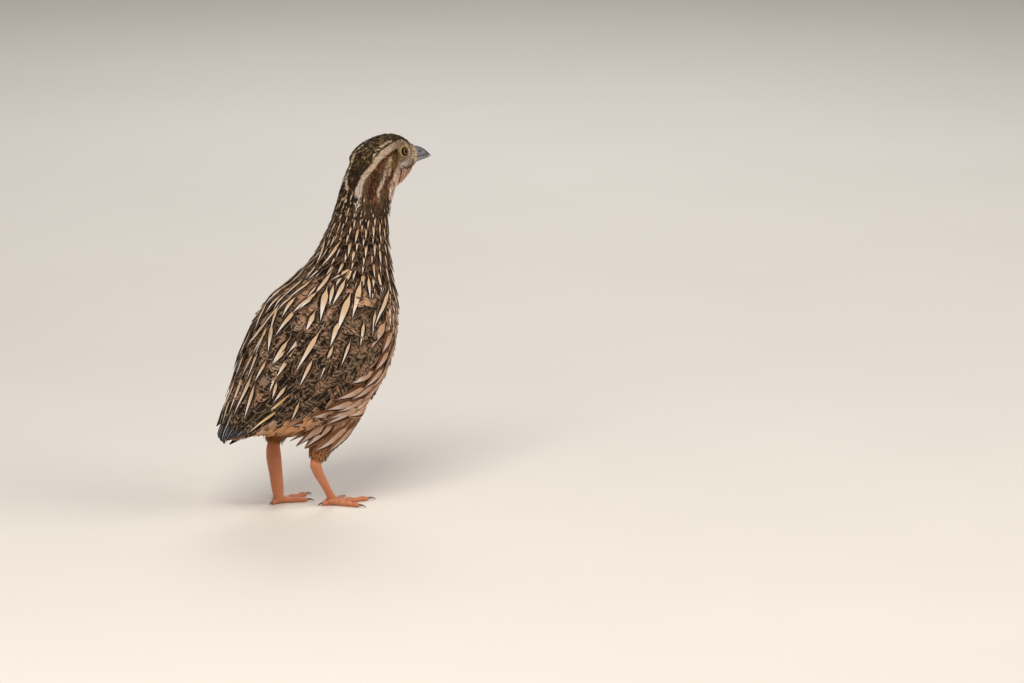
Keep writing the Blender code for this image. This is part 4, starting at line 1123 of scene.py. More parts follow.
def wing_looks(flight, root, count, draw):
    """Looks of a tier's feathers, plainer and paler toward the shoulder."""
    looks = Looks(count)
    calm = smooth(root, 62.0, 86.0)
    tone = draw.uniform(0.75, 1.25, (count, 1))
    warm = draw.random((count, 1))
    if flight:
        looks.paint(1, ground=srgb(96, 76, 60) * tone, bars=draw.uniform(0.5, 1.0, count),
                    edge=srgb(132, 108, 86), edge_strength=0.45, blotch=draw.uniform(0.3, 0.9, count))
    else:
        cover = between(srgb(106, 87, 70), srgb(124, 93, 72), warm)
        looks.paint(1, ground=cover * tone * (1 + 0.12 * calm), bars=draw.uniform(0.3, 1.0, count),
                    edge=srgb(138, 114, 92), edge_strength=0.5,
                    blotch=draw.uniform(0.3, 1.0, count) * (1 - 0.45 * calm))
    return looks


# Tiers of the tail: angles from the back, distance of the roots, first and last tip, width, and
# lift of root and tip
TAIL_TIERS = (
    ("tail", (6, 22, 38, 55, 73, 92), 23.0, (-1.2, 10.5), 3.5, 0.1, -0.3),
    ("upper", (8, 24, 40, 57, 75, 92), 26.0, (8.0, 10.0), 5.6, 0.4, 0.1),
    ("upper_2", (0.5, 16, 32, 49, 66, 83), 35.0, (14.0, 17.0), 6.0, 0.5, 0.2),
    ("tail_below", (108, 125, 142, 160, 178), 22.0, (8.5, 4.0), 3.8, 0.1, -0.3),
    ("under", (98, 110, 124, 141, 160, 178), 30.0, (13.0, 14.0), 5.4, 0.1, 0.1),
)


def tail_coat(guide, draw):
    """Tail feathers in a low roof, and long coverts over and under them."""
    coat = Feathers()
    for name, angles, root, (near, far), width, low, over in TAIL_TIERS:
        angle = np.radians(np.concatenate([angles, -np.array(angles)]))
        count = len(angle)
        spread = np.array(angles) - angles[0]
        tip = near + (far - near) * np.tile(spread / spread[-1], 2) + draw.normal(0, 0.3, count)
        s = np.full(count, root)
        length = np.linalg.norm(body_outline(tip, angle) - body_outline(s, angle), axis=1) * 1.04
        looks = Looks(count)
        looks.paint(1, ground=srgb(104, 86, 68), bars=0.9, edge=srgb(160, 134, 106), edge_strength=0.35,
                    blotch=0.8)
        if name.startswith("tail"):
            looks.paint(1, ground=srgb(50, 50, 55), bars=0.2, edge=srgb(110, 106, 104),
                        edge_strength=0.15, blotch=0.2, streak=srgb(166, 165, 164),
                        streak_width=draw.uniform(0.08, 0.42, count))
        if name.startswith("upper"):
            looks.paint(draw.random(count) > 0.5, streak_width=0.22, streak=srgb(220, 200, 164))
        if name == "under":
            looks.paint(1, ground=srgb(190, 156, 130), bars=0.1, edge=srgb(206, 172, 148), blotch=0)
        coat.add(skin_place(s, angle), body_outline(tip - 8.0, angle), length, width, low, over, looks,
                 unwrap_of(0, s, angle), stiff=0.6, point=0.35, camber=0.12,
                 round=14.0, roll=-0.15 * np.sign(angle))
    return coat


# Head's coat: the place in the head's frame that its feathers flow from, its lowest place on the
# neck as distance along the body and height in the head's frame, how far forward the bristles
# over the bill begin and the feathers end, the radius round the eye that stays bare and the one
# where feathers get smaller, and the places tried on the head and on the thighs
BILL_POLE = np.array([19.5, 0.0, -0.8])
HEAD_COAT_START = 129.0
HEAD_COAT_BASE = -21.0
FRINGE_START = 17.4
HEAD_COAT_END = 19.6
BARE_ROUND_EYE = 3.2
SMALL_ROUND_EYE = 6.0
HEAD_PLACES = 36000
THIGH_PLACES = 16000
FAR_OFF = 99.0


def head_coat(guide, chart, draw):
    """Tiny feathers of the head, flowing from the bill back round the eye and down the neck."""
    places = guide.scatter(HEAD_PLACES, draw, to_head(guide.points)[:, 2] > HEAD_COAT_BASE)
    tags, coordinates = chart.locate(places)
    h = to_head(places)
    chosen = (tags == 1) | ((tags == 0) & (coordinates[:, 0] > HEAD_COAT_START))
    chosen = chosen & (h[:, 0] < HEAD_COAT_END)
    places, tags, coordinates, h = (v[chosen] for v in (places, tags, coordinates, h))
    away = np.linalg.norm(h - BILL_POLE, axis=1)
    size = 0.95 + 1.7 * smooth(away, 2.5, 20.0) + 1.5 * smooth(h[:, 2], -6.0, -20.0)
    round_eye = np.full(len(h), FAR_OFF)
    eye_gap = np.zeros((len(h), 3))
    for side in (-1, 1):
        centre, out = eye_frame(side)
        gap = places - centre
        gap = gap - (gap @ out)[:, None] * out
        near = np.where(np.sign(h[:, 1]) == side, np.linalg.norm(gap, axis=1), FAR_OFF)
        closer = near < round_eye
        round_eye = np.where(closer, near, round_eye)
        eye_gap = np.where(closer[:, None], gap, eye_gap)
    near_size = np.minimum(size, 0.85 + 0.35 * (round_eye - 2.6))
    size = np.where(round_eye < SMALL_ROUND_EYE, near_size, size)
    keep = round_eye > BARE_ROUND_EYE
    kept = np.flatnonzero(keep)[thin_out(places[keep], 0.22 * size[keep] + 0.08)]
    places, tags, coordinates, h = (v[kept] for v in (places, tags, coordinates, h))
    size, round_eye, eye_gap = (v[kept] for v in (size, round_eye, eye_gap))
    flow = unit(h - BILL_POLE)
    fringe = h[:, 0] > FRINGE_START
    flow = np.where(fringe[:, None], np.array([1.0, 0.0, -0.25]), flow) @ HEAD_FRAME[:3, :3].T
    down = unit(BODY.at(np.array(132.0))[:2] - BODY.at(np.array(142.0))[:2])
    down = np.array([down[0], 0.0, down[1]])
    throat = 0.75 * smooth(h[:, 2], 0.0, -9.0) * smooth(h[:, 0], 14.0, 6.0)
    turn = np.maximum(smooth(h[:, 0], 3.0, -8.0), throat)
    flow = unit(between(flow, down, turn[:, None]))
    ring = unit(eye_gap)
    inward = np.minimum(np.sum(flow * ring, axis=1), 0.0)
    near_eye = smooth(round_eye, 5.5, 3.4)
    flow = unit(flow - ring * (inward * near_eye * 1.15)[:, None])
    length = size * draw.uniform(0.9, 1.2, len(h)) * np.where(fringe, 1.7, 1.0)
    targets = places + (flow + draw.normal(0, 0.08, flow.shape)) * (length * 1.6)[:, None]
    coat = Feathers()
    coat.add(places, targets, length, 0.30 * length + 0.2, 0.0, draw.uniform(0.0, 0.18, len(h)),
             neck_or_head, unwrap_of(tags, *coordinates.T), round=6.0, point=0.35, camber=0.1,
             curl=draw.uniform(0.0, 0.12, len(h)), roll=draw.normal(0, 0.05, len(h)),
             stiff=np.where(fringe, 0.6, 0.25))
    return coat


def neck_or_head(guide, points, luck):
    """The head's markings, and under them the neck's dark ground with pale lines."""
    looks = head_looks(guide, points, luck)
    low = smooth(to_head(points)[:, 2] + 6.0 * (luck - 0.5), -16.0, -20.0)
    tone = (0.7 + 0.6 * luck)[:, None]
    looks.paint(low, ground=srgb(50, 35, 25) * tone, edge=srgb(120, 92, 68), edge_strength=0.25,
                streak=srgb(206, 188, 168), streak_width=0.5 * (luck > 0.72))
    return looks


def thigh_coat(guide, chart, draw):
    """Soft thigh feathers, short and narrow toward the hock."""
    places = guide.scatter(THIGH_PLACES, draw, guide.points[:, 2] < 62.0)
    tags, coordinates = chart.locate(places)
    chosen = tags >= 2
    places, tags, coordinates = places[chosen], tags[chosen], coordinates[chosen]
    ends = np.where(tags == 2, THIGHS["right"].end, THIGHS["left"].end)
    left = ends - coordinates[:, 0]
    size = 2.4 + 4.2 * smooth(left, 3.0, 26.0)
    order = thin_out(places, 0.28 * size)
    places, tags, coordinates, left, size = (v[order] for v in (places, tags, coordinates, left, size))
    flow = np.zeros_like(places)
    for tag, name in THIGH_TAGS.items():
        line = THIGHS[name]
        along = unit((line.at(coordinates[:, 0] + 2) - line.at(coordinates[:, 0] - 2))[:, :3])
        flow = np.where((tags == tag)[:, None], along, flow)
    flow = unit(flow + np.array([-0.25, 0.0, -0.1]) * smooth(left, 2.0, 20.0)[:, None])
    length = size * draw.uniform(0.9, 1.15, len(size))
    looks = Looks(len(size))
    tone = draw.uniform(0.82, 1.08, (len(size), 1))
    front = smooth(np.cos(coordinates[:, 1]), -0.3, 0.4)[:, None]
    shank = between(srgb(150, 94, 52), srgb(136, 116, 92), front)
    looks.paint(1, ground=srgb(164, 122, 92) * tone, edge=srgb(176, 136, 106), edge_strength=0.2)
    looks.paint(smooth(left, 16.0, 6.0), ground=shank * tone, edge=srgb(150, 116, 86))
    coat = Feathers()
    targets = places + (flow + draw.normal(0, 0.08, flow.shape)) * (length * 1.6)[:, None]
    coat.add(places, targets, length, 0.40 * length + 0.3, 0.0, draw.uniform(-0.1, 0.2, len(size)), looks,
             unwrap_of(tags, *coordinates.T), round=6.0, point=0.5, stiff=0.4,
             curl=draw.uniform(0.0, 0.3, len(size)))
    return coat


def eye_frame(side):
    """Middle of the eyeball and the way it looks out."""
    forward = np.array(EYE_FORWARD)
    angle = np.array(EYE_ANGLE * side)
    out = outward(head_outline, forward, angle)
    return head_outline(forward, angle) - out * EYE_DEPTH, out


class Nodes:
    """Short ways to add and join the nodes of a material."""

    def __init__(self, name):
        self.material = bpy.data.materials.new(name)
        self.material.use_nodes = True
        self.tree = self.material.node_tree
        self.shader = self.tree.nodes["Principled BSDF"]

    def put(self, kind, settings=None, **inputs):
        """A node with its settings and with inputs by name; an input is a value or an output."""
        node = self.tree.nodes.new(kind)
        for name, value in (settings or {}).items():
            setattr(node, name, value)
        for name, value in inputs.items():
            socket = node.inputs[int(name[1:]) if name[0] == "i" and name[1:].isdigit() else name]
            self.feed(socket, value)
        return node

    def feed(self, socket, value):
        if isinstance(value, bpy.types.NodeSocket):
            self.tree.links.new(value, socket)
        elif socket.type == "RGBA":
            socket.default_value = (*value[:3], 1.0)
        else:
            socket.default_value = value

    def math(self, operation, a, b=0.0, c=0.0):
        return self.put("ShaderNodeMath", {"operation": operation}, i0=a, i1=b, i2=c).outputs[0]

    def minus(self, a, b):
        return self.math("SUBTRACT", a, b)

    def times(self, a, b):
        return self.math("MULTIPLY", a, b)

    def times_plus(self, a, b, c):
        return self.math("MULTIPLY_ADD", a, b, c)

    def step(self, value, low, high):
        """0 below low and 1 above high, smooth between; low may be the higher one."""
        if low > high:
            return self.minus(1.0, self.step(value, high, low))
        settings = {"interpolation_type": "SMOOTHSTEP"}
        node = self.put("ShaderNodeMapRange", settings, i0=value, i1=low, i2=high)
        return node.outputs[0]

    def mix(self, share, first, second, kind="MIX"):
        node = self.put("ShaderNodeMix", {"data_type": "RGBA", "blend_type": kind})
        for place, value in ((0, share), (6, first), (7, second)):
            self.feed(node.inputs[place], value)
        return node.outputs[2]

    def noise(self, vector, scale, detail=2.0, rough=0.5):
        return self.put("ShaderNodeTexNoise", {}, Vector=vector, Scale=scale, Detail=detail,
                        Roughness=rough).outputs["Fac"]

    def vector(self, x, y, z):
        return self.put("ShaderNodeCombineXYZ", {}, X=x, Y=y, Z=z).outputs[0]

    def shade(self, colour, tone):
        """The colour times a number."""
        return self.mix(1.0, colour, self.vector(tone, tone, tone), "MULTIPLY")

    def object_place(self):
        return self.put("ShaderNodeTexCoord").outputs["Object"]

    def map_place(self, name):
        """First and second number of a UV map."""
        place = self.put("ShaderNodeUVMap", {"uv_map": name}).outputs[0]
        return self.put("ShaderNodeSeparateXYZ", {}, Vector=place).outputs[:2]

    def attribute(self, name, *outputs):
        """The named outputs of a stored value's node, or its one number."""
        found = self.put("ShaderNodeAttribute", {"attribute_name": name}).outputs
        return [found[output] for output in outputs] if outputs else found["Fac"]

    def finish(self, colour, roughness, height=None, strength=0.4, distance=0.0001, **values):
        self.feed(self.shader.inputs["Base Color"], colour)
        self.feed(self.shader.inputs["Roughness"], roughness)
        if height is not None:
            bump = self.put("ShaderNodeBump", {}, Strength=strength, Distance=distance, Height=height)
            self.feed(self.shader.inputs["Normal"], bump.outputs[0])
        for name, value in values.items():
            self.feed(self.shader.inputs[name.replace("_", " ")], value)
        return self.material


# Turns a bar's phase into an angle
FULL_TURN = 6.2832


def feather_material(name, pitch=2.2, fine_contrast=0.8, root_down_and_shade=0.74, black_above=0.85,
                     black_width=0.3, bar_drift=1.5, begins=(0.26, 0.48), looseness=0.24):
    """Vane with barbs, dark blotches, thin pale bars between dark ones, a pale rim and a streak.

    pitch is the bars' distance in millimetres. black_above and black_width are the strength and
    width of the black beside the streak's upper side, and begins is where the streak widens, as
    shares of the vane, with a looseness by chance. The covered root is darkened toward black by a
    share, partly for its darker down and partly as painted shadow of the feathers lying over it.
    """
    n = Nodes(name)
    along, over = n.map_place("vane")
    ground, bars = n.attribute("ground", "Color", "Alpha")
    streak, streak_width = n.attribute("streak", "Color", "Alpha")
    edge, edge_strength = n.attribute("edge", "Color", "Alpha")
    shape, blotched = n.attribute("shape", "Color", "Alpha")
    size = n.put("ShaderNodeSeparateColor", {}, Color=shape)
    length = n.times(size.outputs[0], SIZE_SCALE)
    width = n.times(size.outputs[1], SIZE_SCALE)
    seed = n.times(size.outputs[2], 97.0)
    signed = n.minus(over, 0.5)
    middle = n.math("ABSOLUTE", signed)
    across = n.times(middle, 2.0)
    x = n.times(along, length)
    y = n.times(middle, width)
    y_signed = n.times(signed, width)
    barb = n.times_plus(y, -0.9, x)
    fine = n.noise(n.vector(n.times(barb, 5.0), n.times(y_signed, 0.6), seed), 1.0, 2.0)
    coarse = n.noise(n.vector(n.times(x, 0.34), n.times(y_signed, 0.40), seed), 1.0, 3.0, 0.55)
    drift = n.noise(n.vector(n.times(x, 0.20), n.times(y_signed, 0.26), seed), 1.0, 1.0)
    bent = n.times_plus(n.times(y, y), 0.16, x)
    phase = n.times_plus(drift, bar_drift, n.math("DIVIDE", bent, pitch))
    wave = n.math("SINE", n.times(n.math("ADD", phase, seed), FULL_TURN))
    amount = n.times(bars, n.step(coarse, 0.66, 0.46))
    dark_bar = n.times(n.step(wave, 0.35, -0.55), amount)
    thin_bar = n.times(n.step(wave, 0.70, 0.95), n.times(amount, n.step(fine, 0.36, 0.56)))
    patchy = n.times_plus(blotched, 0.12, coarse)
    blotch = n.times(n.step(patchy, 0.54, 0.60), n.step(blotched, 0.0, 0.3))
    taper = n.minus(1.0, n.math("POWER", along, 3.0))
    begun = n.times_plus(n.math("FRACT", n.times(seed, 0.37)), looseness, along)
    root_line = n.times_plus(n.step(begun, *begins), 0.76, 0.24)
    half = n.times(streak_width, n.times(taper, root_line))
    ragged = n.times_plus(n.minus(fine, 0.5), 0.08, across)
    beside = n.minus(half, ragged)
    on_streak = n.step(beside, -0.03, 0.03)
    has = n.step(streak_width, 0.02, 0.06)
    lower_side = n.times_plus(n.step(signed, -0.02, 0.02), 0.85 - black_above, black_above)
    black_edge = n.times(n.step(beside, -black_width, -0.5 * black_width), n.times(has, lower_side))
    side_gap = n.times(n.minus(1.0, across), n.times(width, 0.5))
    tip_gap = n.times(n.minus(1.0, along), length)
    rim = n.step(n.math("MINIMUM", side_gap, tip_gap), 0.62, 0.22)
    rim = n.times(rim, edge_strength)
    colour = n.mix(n.times(dark_bar, 0.80), ground, BLACK)
    colour = n.mix(n.times(thin_bar, 0.55), colour, srgb(176, 148, 112))
    colour = n.mix(n.times(blotch, 0.94), colour, BLACK)
    # Root darkened toward black: partly the real darker down there, partly painted shadow under the
    # overlapping feathers above
    colour = n.mix(n.times(n.step(along, 0.74, 0.34), root_down_and_shade), colour, BLACK)
    colour = n.mix(rim, colour, edge)
    colour = n.mix(black_edge, colour, BLACK)
    root = n.mix(n.step(along, 0.80, 0.36), streak, (0.80, 0.60, 0.42), "MULTIPLY")
    colour = n.mix(on_streak, colour, root)
    tone = n.times_plus(n.minus(fine, 0.5), fine_contrast, 1.0)
    colour = n.shade(colour, tone)
    return n.finish(colour, 0.7, fine, 0.35, 0.00012, Specular_IOR_Level=0.07)


def skin_material():
    """Dull mottled down, hardly seen between the feathers."""
    n = Nodes("skin")
    ground, _ = n.attribute("ground", "Color", "Alpha")
    place = n.object_place()
    down = n.noise(place, 900.0, 4.0, 0.6)
    mottle = n.noise(place, 260.0, 3.0)
    tone = n.times_plus(mottle, 0.7, 0.35)
    colour = n.shade(ground, tone)
    return n.finish(colour, 0.8, down, 0.6, 0.0003, Specular_IOR_Level=0.15)


def horn_material(name, base, dark, pale):
    """Satin horn, darker toward its tip, with fine lengthwise grain."""
    n = Nodes(name)
    along, over = n.map_place("along")
    grain = n.noise(n.vector(n.times(along, 6.0), n.times(over, 60.0), 0.0), 1.0, 3.0)
    cloud = n.noise(n.object_place(), 700.0, 3.0)
    colour = n.mix(n.step(along, 0.35, 1.0), base, dark)
    colour = n.mix(n.times(n.step(along, 0.3, 0.0), 0.6), colour, pale)
    colour = n.mix(n.times(n.step(cloud, 0.45, 0.7), 0.35), colour, pale)
    tone = n.times_plus(grain, 0.4, 0.8)
    colour = n.shade(colour, tone)
    # The nostril's opening painted near black: painted shade of the hole, which the mesh only dents
    colour = n.mix(n.attribute("slit"), colour, srgb(16, 12, 12))
    roughness = n.times_plus(cloud, 0.2, 0.26)
    return n.finish(colour, roughness, grain, 0.15, 0.0001)


def leg_material():
    """Orange-brown scaled skin, paler on the scutes and darker in the creases."""
    n = Nodes("leg_skin")
    place = n.object_place()
    raised = n.attribute("raised")
    cells = n.put("ShaderNodeTexVoronoi", {"feature": "DISTANCE_TO_EDGE"}, Vector=place, Scale=1500.0)
    cell = n.step(cells.outputs["Distance"], 0.0, 0.18)
    cloud = n.noise(place, 400.0, 3.0)
    colour = n.mix(cloud, srgb(190, 110, 66), srgb(206, 136, 94))
    colour = n.mix(n.step(raised, 0.55, 0.1), colour, srgb(140, 78, 50))
    colour = n.mix(n.times(n.minus(1.0, cell), 0.3), colour, srgb(150, 88, 60))
    height = n.times_plus(cell, 0.6, n.times(cloud, 0.4))
    return n.finish(colour, 0.48, height, 0.5, 0.00012, Subsurface_Weight=0.08, Subsurface_Scale=0.001)


def eye_material():
    """Wet eyeball: black pupil, olive-brown iris with fine rays, and a dark rim."""
    n = Nodes("eye")
    radial = n.attribute("radial")
    turn, _ = n.attribute("turn", "Color", "Alpha")
    ways = n.put("ShaderNodeSeparateColor", {}, Color=turn).outputs
    rays = n.noise(n.vector(ways[0], ways[1], n.times(radial, 0.6)), 16.0, 3.0)
    iris = n.mix(rays, srgb(84, 60, 28), srgb(124, 94, 46))
    iris = n.mix(n.step(radial, 1.15, 1.45), iris, srgb(84, 56, 22))
    colour = n.mix(n.step(radial, 0.80, 0.88), srgb(5, 4, 4), iris)
    colour = n.mix(n.step(radial, 1.32, 1.44), colour, srgb(12, 9, 6))
    return n.finish(colour, 0.06, None, Coat_Weight=0.05, Coat_Roughness=0.03, Specular_IOR_Level=0.04)


def lid_material():
    """Olive bare skin, dark in its folds."""
    n = Nodes("lid")
    place = n.object_place()
    raised = n.attribute("raised")
    cloud = n.noise(place, 900.0, 3.0)
    colour = n.mix(cloud, srgb(112, 92, 44), srgb(150, 126, 68))
    colour = n.mix(n.step(raised, 0.5, 0.05), colour, srgb(40, 30, 18))
    cells = n.put("ShaderNodeTexVoronoi", {}, Vector=place, Scale=3500.0).outputs["Distance"]
    return n.finish(colour, 0.45, cells, 0.3, 0.00006)


# Angle from which a fold in horn, leg or lid is sharp
PIECE_CREASE = math.radians(60)
# Lowest place of feet and claws over the floor
FLOOR_GAP = 0.02
# Lids: where the inner rim lies and how broad they are, as tilts from the way the eye looks
LID_TILT = 0.655
LID_BREADTH = 0.54
# Half of the gap between the halves of the bill
MOUTH_GAP = 0.12
# How far the bill reaches under the feathers, and the claw into the toe
HIDDEN_BASE = 0.9
# Ball of the foot: its radii across and up, and the height of its middle
PAD_RADII = (2.6, 2.0)
PAD_HEIGHT = 1.8


def turns(count):
    """Angles of a full round without its end."""
    return np.linspace(0, 2 * math.pi, count, endpoint=False)


def grid_mesh(name, rings, look, closed=True, values=None):
    """Piece from rings of points in the design's place, with a map along and round it."""
    rows, count = rings.shape[:2]
    piece = make_mesh(name, rings.reshape(-1, 3), ring_faces(rows, count, closed))
    mesh = piece.data
    row, column = np.divmod(np.arange(rows * count), count)
    lay_map(mesh, "along", np.stack([row / (rows - 1), column / count], -1))
    for label, numbers in (values or {}).items():
        store(mesh, label, numbers)
    mesh.shade_smooth()
    mesh.set_sharp_from_angle(angle=PIECE_CREASE)
    mesh.materials.append(look)
    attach(piece, "root")
    return piece


def make_eye(side, look):
    """Eyeball turned about the way it looks, with a slight bulge of the cornea."""
    centre, out = eye_frame(side)
    turn = np.array(Vector(out).to_track_quat("Z", "Y").to_matrix())
    tilt = np.linspace(0.0, math.pi * 0.75, 40)
    t, r = np.meshgrid(tilt, turns(64), indexing="ij")
    radius = EYE_RADIUS - 0.05 + 0.14 * smooth(t, 0.62, 0.2)
    outer = radius * np.sin(t)
    local = np.stack([outer * np.cos(r), outer * np.sin(r), radius * np.cos(t)], -1)
    local[0] += np.stack([np.cos(r[0]), np.sin(r[0]), 0 * r[0]], -1) * 0.004
    rings = local @ turn.T + centre
    radial = EYE_RADIUS * np.sin(t)
    direction = np.stack([np.cos(r) * 0.5 + 0.5, np.sin(r) * 0.5 + 0.5, 0 * r, 1 + 0 * r], -1)
    name = "left" if side > 0 else "right"
    piece = grid_mesh("eyeball_" + name, rings, look, True, {"radial": radial, "turn": direction})
    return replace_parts(piece, "eye_" + name)


def make_lids(side, look):
    """Bare olive ring of lids round the eye, with two fine folds."""
    centre, out = eye_frame(side)
    ahead = unit(HEAD_FRAME[:3, 0] - out * (HEAD_FRAME[:3, 0] @ out))
    above = np.cross(out, ahead)
    angles = turns(96)
    rows = []
    raised = []
    for share in np.linspace(0.0, 1.0, 26):
        tilt = LID_TILT + LID_BREADTH * share
        fold = 0.10 * math.cos(2 * math.pi * (2.5 * share)) * math.sin(math.pi * share)
        radius = EYE_RADIUS + 0.10 + 0.34 * math.sin(math.pi * min(1.0, share * 0.9 + 0.06)) + fold
        rows.append((tilt, radius))
        raised.append(min(1.0, 0.1 + 5 * share) * (0.55 + 4.5 * fold))
    for share in (1.0, 0.5, 0.0):
        rows.append((LID_TILT + LID_BREADTH * share, EYE_RADIUS - 0.25 + 0.2 * (1 - share)))
        raised.append(0.2)
    rings = []
    for tilt, radius in rows:
        oval = 1 + 0.10 * np.cos(2 * angles)
        plane = radius * math.sin(tilt) * oval
        height = radius * math.cos(tilt)
        rings.append(centre + out * height + ahead * (plane * np.cos(angles))[:, None]
                     + above * (plane * np.sin(angles))[:, None])
    rings = np.array(rings + rings[:1])
    values = {"raised": np.repeat(np.array(raised + raised[:1])[:, None], len(angles), 1)}
    name = "lids_left" if side > 0 else "lids_right"
    return grid_mesh(name, rings, look, False, values)


def make_bill(upper, look):
    """Half of the bill: arched sections from its base to the tip, with the nostril's slit dented in and a
    mask for the painted shade of its opening.
    """
    last = BILL_STATIONS[-1][0] if upper else LOWER_BILL_END
    first = BILL_STATIONS[0][0] - HIDDEN_BASE
    forward = np.linspace(first, last, 44)
    row = BILL.at(forward)
    half, top, mouth, bottom = (row[:, k][:, None] for k in (1, 2, 3, 4))
    angle = np.linspace(0, math.pi, 40)[None, :]
    arch = np.sin(angle) ** 0.9
    across = half * np.sign(np.cos(angle)) * np.abs(np.cos(angle)) ** 0.85
    if upper:
        height = mouth + MOUTH_GAP + np.maximum(top - mouth - MOUTH_GAP, 0.2) * arch
        height = height + 0.12 * np.exp(-((angle - math.pi / 2) / 0.22) ** 2)
        past = forward[:, None] - NOSTRIL_PLACE[0]
        over = height - NOSTRIL_PLACE[1]
        slit = np.exp(-((past / 1.5) ** 2 + ((over + 0.15 + 0.28 * past) / 0.42) ** 2))
        swell = np.exp(-(((past + 0.3) / 1.8) ** 2 + ((over - 0.5) / 0.6) ** 2))
        across = across * (1 - 0.26 * slit + 0.07 * swell)
    else:
        height = mouth - MOUTH_GAP - np.maximum(mouth - MOUTH_GAP - bottom, 0.2) * arch
        slit = np.zeros(height.shape)
    points = np.stack([np.broadcast_to(forward[:, None], across.shape), across, height], -1)
    rings = from_head(points)
    name = "bill_upper_horn" if upper else "bill_lower_horn"
    # The slit's mask marks where the nostril's opening gets its painted shade
    piece = grid_mesh(name, rings, look, True, {"slit": smooth(slit, 0.5, 0.9)})
    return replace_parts(piece, "bill_upper" if upper else "bill_lower")


def scaled_tube(name, middle, radii, scutes, look, front, flat=False):
    """Leg or toe: a tube whose front carries overlapping scutes and whose sides are netted."""
    rows = len(middle)
    count = 36
    along = unit(np.gradient(middle, axis=0))
    ahead = unit(front - along * np.sum(front * along, -1, keepdims=True))
    across = np.cross(along, ahead)
    length = np.concatenate([[0], np.cumsum(np.linalg.norm(np.diff(middle, axis=0), axis=1))])
    angle = np.linspace(-math.pi, math.pi, count, endpoint=False)[None, :]
    phase = (length[:, None] / scutes) % 1.0
    plate = smooth(np.abs(angle), 1.35, 1.15)
    edge = smooth(phase, 0.0, 0.18) * (1 - 0.35 * phase)
    small = 0.5 + 0.5 * np.sin(length[:, None] / scutes * 11.0) * np.sin(angle * 7.0)
    raised = plate * edge + (1 - plate) * (0.35 + 0.5 * small)
    radius = radii[:, None] * (1 - 0.06 + 0.10 * plate * edge + 0.03 * (1 - plate) * small)
    points = (middle[:, None] + ahead[:, None] * (radius * np.cos(angle))[..., None]
              + across[:, None] * (radius * np.sin(angle))[..., None])
    if flat:
        points[..., 2] = np.maximum(points[..., 2], FLOOR_GAP)
    return grid_mesh(name, points, look, True, {"raised": raised})


def make_leg(name, look, claw_look):
    """Tarsus, foot and claws of one leg."""
    leg = LEGS[name]
    line, hock, foot = leg_line(name)
    above = line.at(line.end - 8.0)[:3]
    shank = foot - hock
    knots = np.array([above + (hock - above) * 0.55, hock + (above - hock) * 0.12, hock + shank * 0.12,
                      hock + shank * 0.5, foot, foot + shank * 0.06])
    path = Line(np.column_stack([knots, leg["shank"]]), 3)
    rows = path.at(np.linspace(0, path.end, 110))
    ahead = np.tile(np.array([1.0, 0.0, 0.3]), (len(rows), 1))
    tarsus = scaled_tube("tarsus_" + name + "_skin", rows[:, :3], rows[:, 3], 1.75, look, ahead)
    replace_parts(tarsus, "tarsus_" + name)
    t, r = np.meshgrid(np.linspace(0.02, math.pi - 0.02, 26), turns(40), indexing="ij")
    wide, high = PAD_RADII
    ball = np.stack([wide * np.sin(t) * np.cos(r), wide * np.sin(t) * np.sin(r), high * np.cos(t)], -1)
    ball = ball + np.array([foot[0], foot[1], PAD_HEIGHT])
    ball[..., 2] = np.maximum(ball[..., 2], FLOOR_GAP)
    pad = grid_mesh("pad_" + name, ball, look, True,
                    {"raised": 0.5 + 0.3 * np.sin(9 * t) * np.sin(9 * r)})
    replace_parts(pad, "foot_" + name)
    for index in range(4):
        make_toe(name, index, foot, look, claw_look)


def make_toe(name, index, foot, look, claw_look):
    """One toe on the floor with a swelling at each joint, and its curved claw."""
    angle = math.radians(LEGS[name]["toes"][index])
    way = np.array([math.cos(angle), math.sin(angle), 0.0])
    length = TOE_LENGTHS[index]
    joints = TOE_JOINTS[index]
    share = np.linspace(0.0, 1.0, 30 + 14 * joints)
    base = TOE_RADII[0] + (TOE_RADII[1] - TOE_RADII[0]) * share
    swell = 1 + 0.09 * np.cos(2 * math.pi * joints * share + math.pi)
    end = np.sqrt(np.clip(1 - np.clip((share - 0.93) / 0.075, 0, 1) ** 2, 0.06, 1))
    radius = base * swell * end
    middle = np.array([foot[0], foot[1], 0.0]) + way * (length * share)[:, None]
    middle[:, 2] = base * 0.92 - 0.1 + 0.25 * np.sin(math.pi * joints * share) ** 2
    up = np.tile(np.array([0.0, 0.0, 1.0]), (len(share), 1))
    scaled_tube("toe_%s_%d" % (name, index + 1), middle, radius, 1.15, look, up, True)
    steps = np.linspace(0, 1, 22)
    root = middle[-1] - way * HIDDEN_BASE
    size = CLAW_LENGTHS[index] + HIDDEN_BASE
    line = root + way * (size * steps)[:, None]
    line[:, 2] = root[2] + 0.45 * np.sin(math.pi * steps) - (root[2] - 0.3) * steps**1.7
    girth = TOE_RADII[1] * 0.78 * (1 - 0.86 * steps**1.1)
    turn = turns(24)[None, :]
    side = np.array([-way[1], way[0], 0.0])
    along = unit(np.gradient(line, axis=0))
    above = np.cross(along, side)
    above = above * np.sign(above[:, 2:3])
    hollow = np.where(np.sin(turn) < -0.5, 0.8, 1.0)
    rings = (line[:, None] + side * (girth[:, None] * 0.8 * np.cos(turn))[..., None]
             + above[:, None] * (girth[:, None] * np.sin(turn) * hollow)[..., None])
    rings[..., 2] = np.maximum(rings[..., 2], FLOOR_GAP)
    node = "claw_%s_%d" % (name, index + 1)
    piece = grid_mesh(node + "_horn", rings, claw_look)
    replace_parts(piece, node)


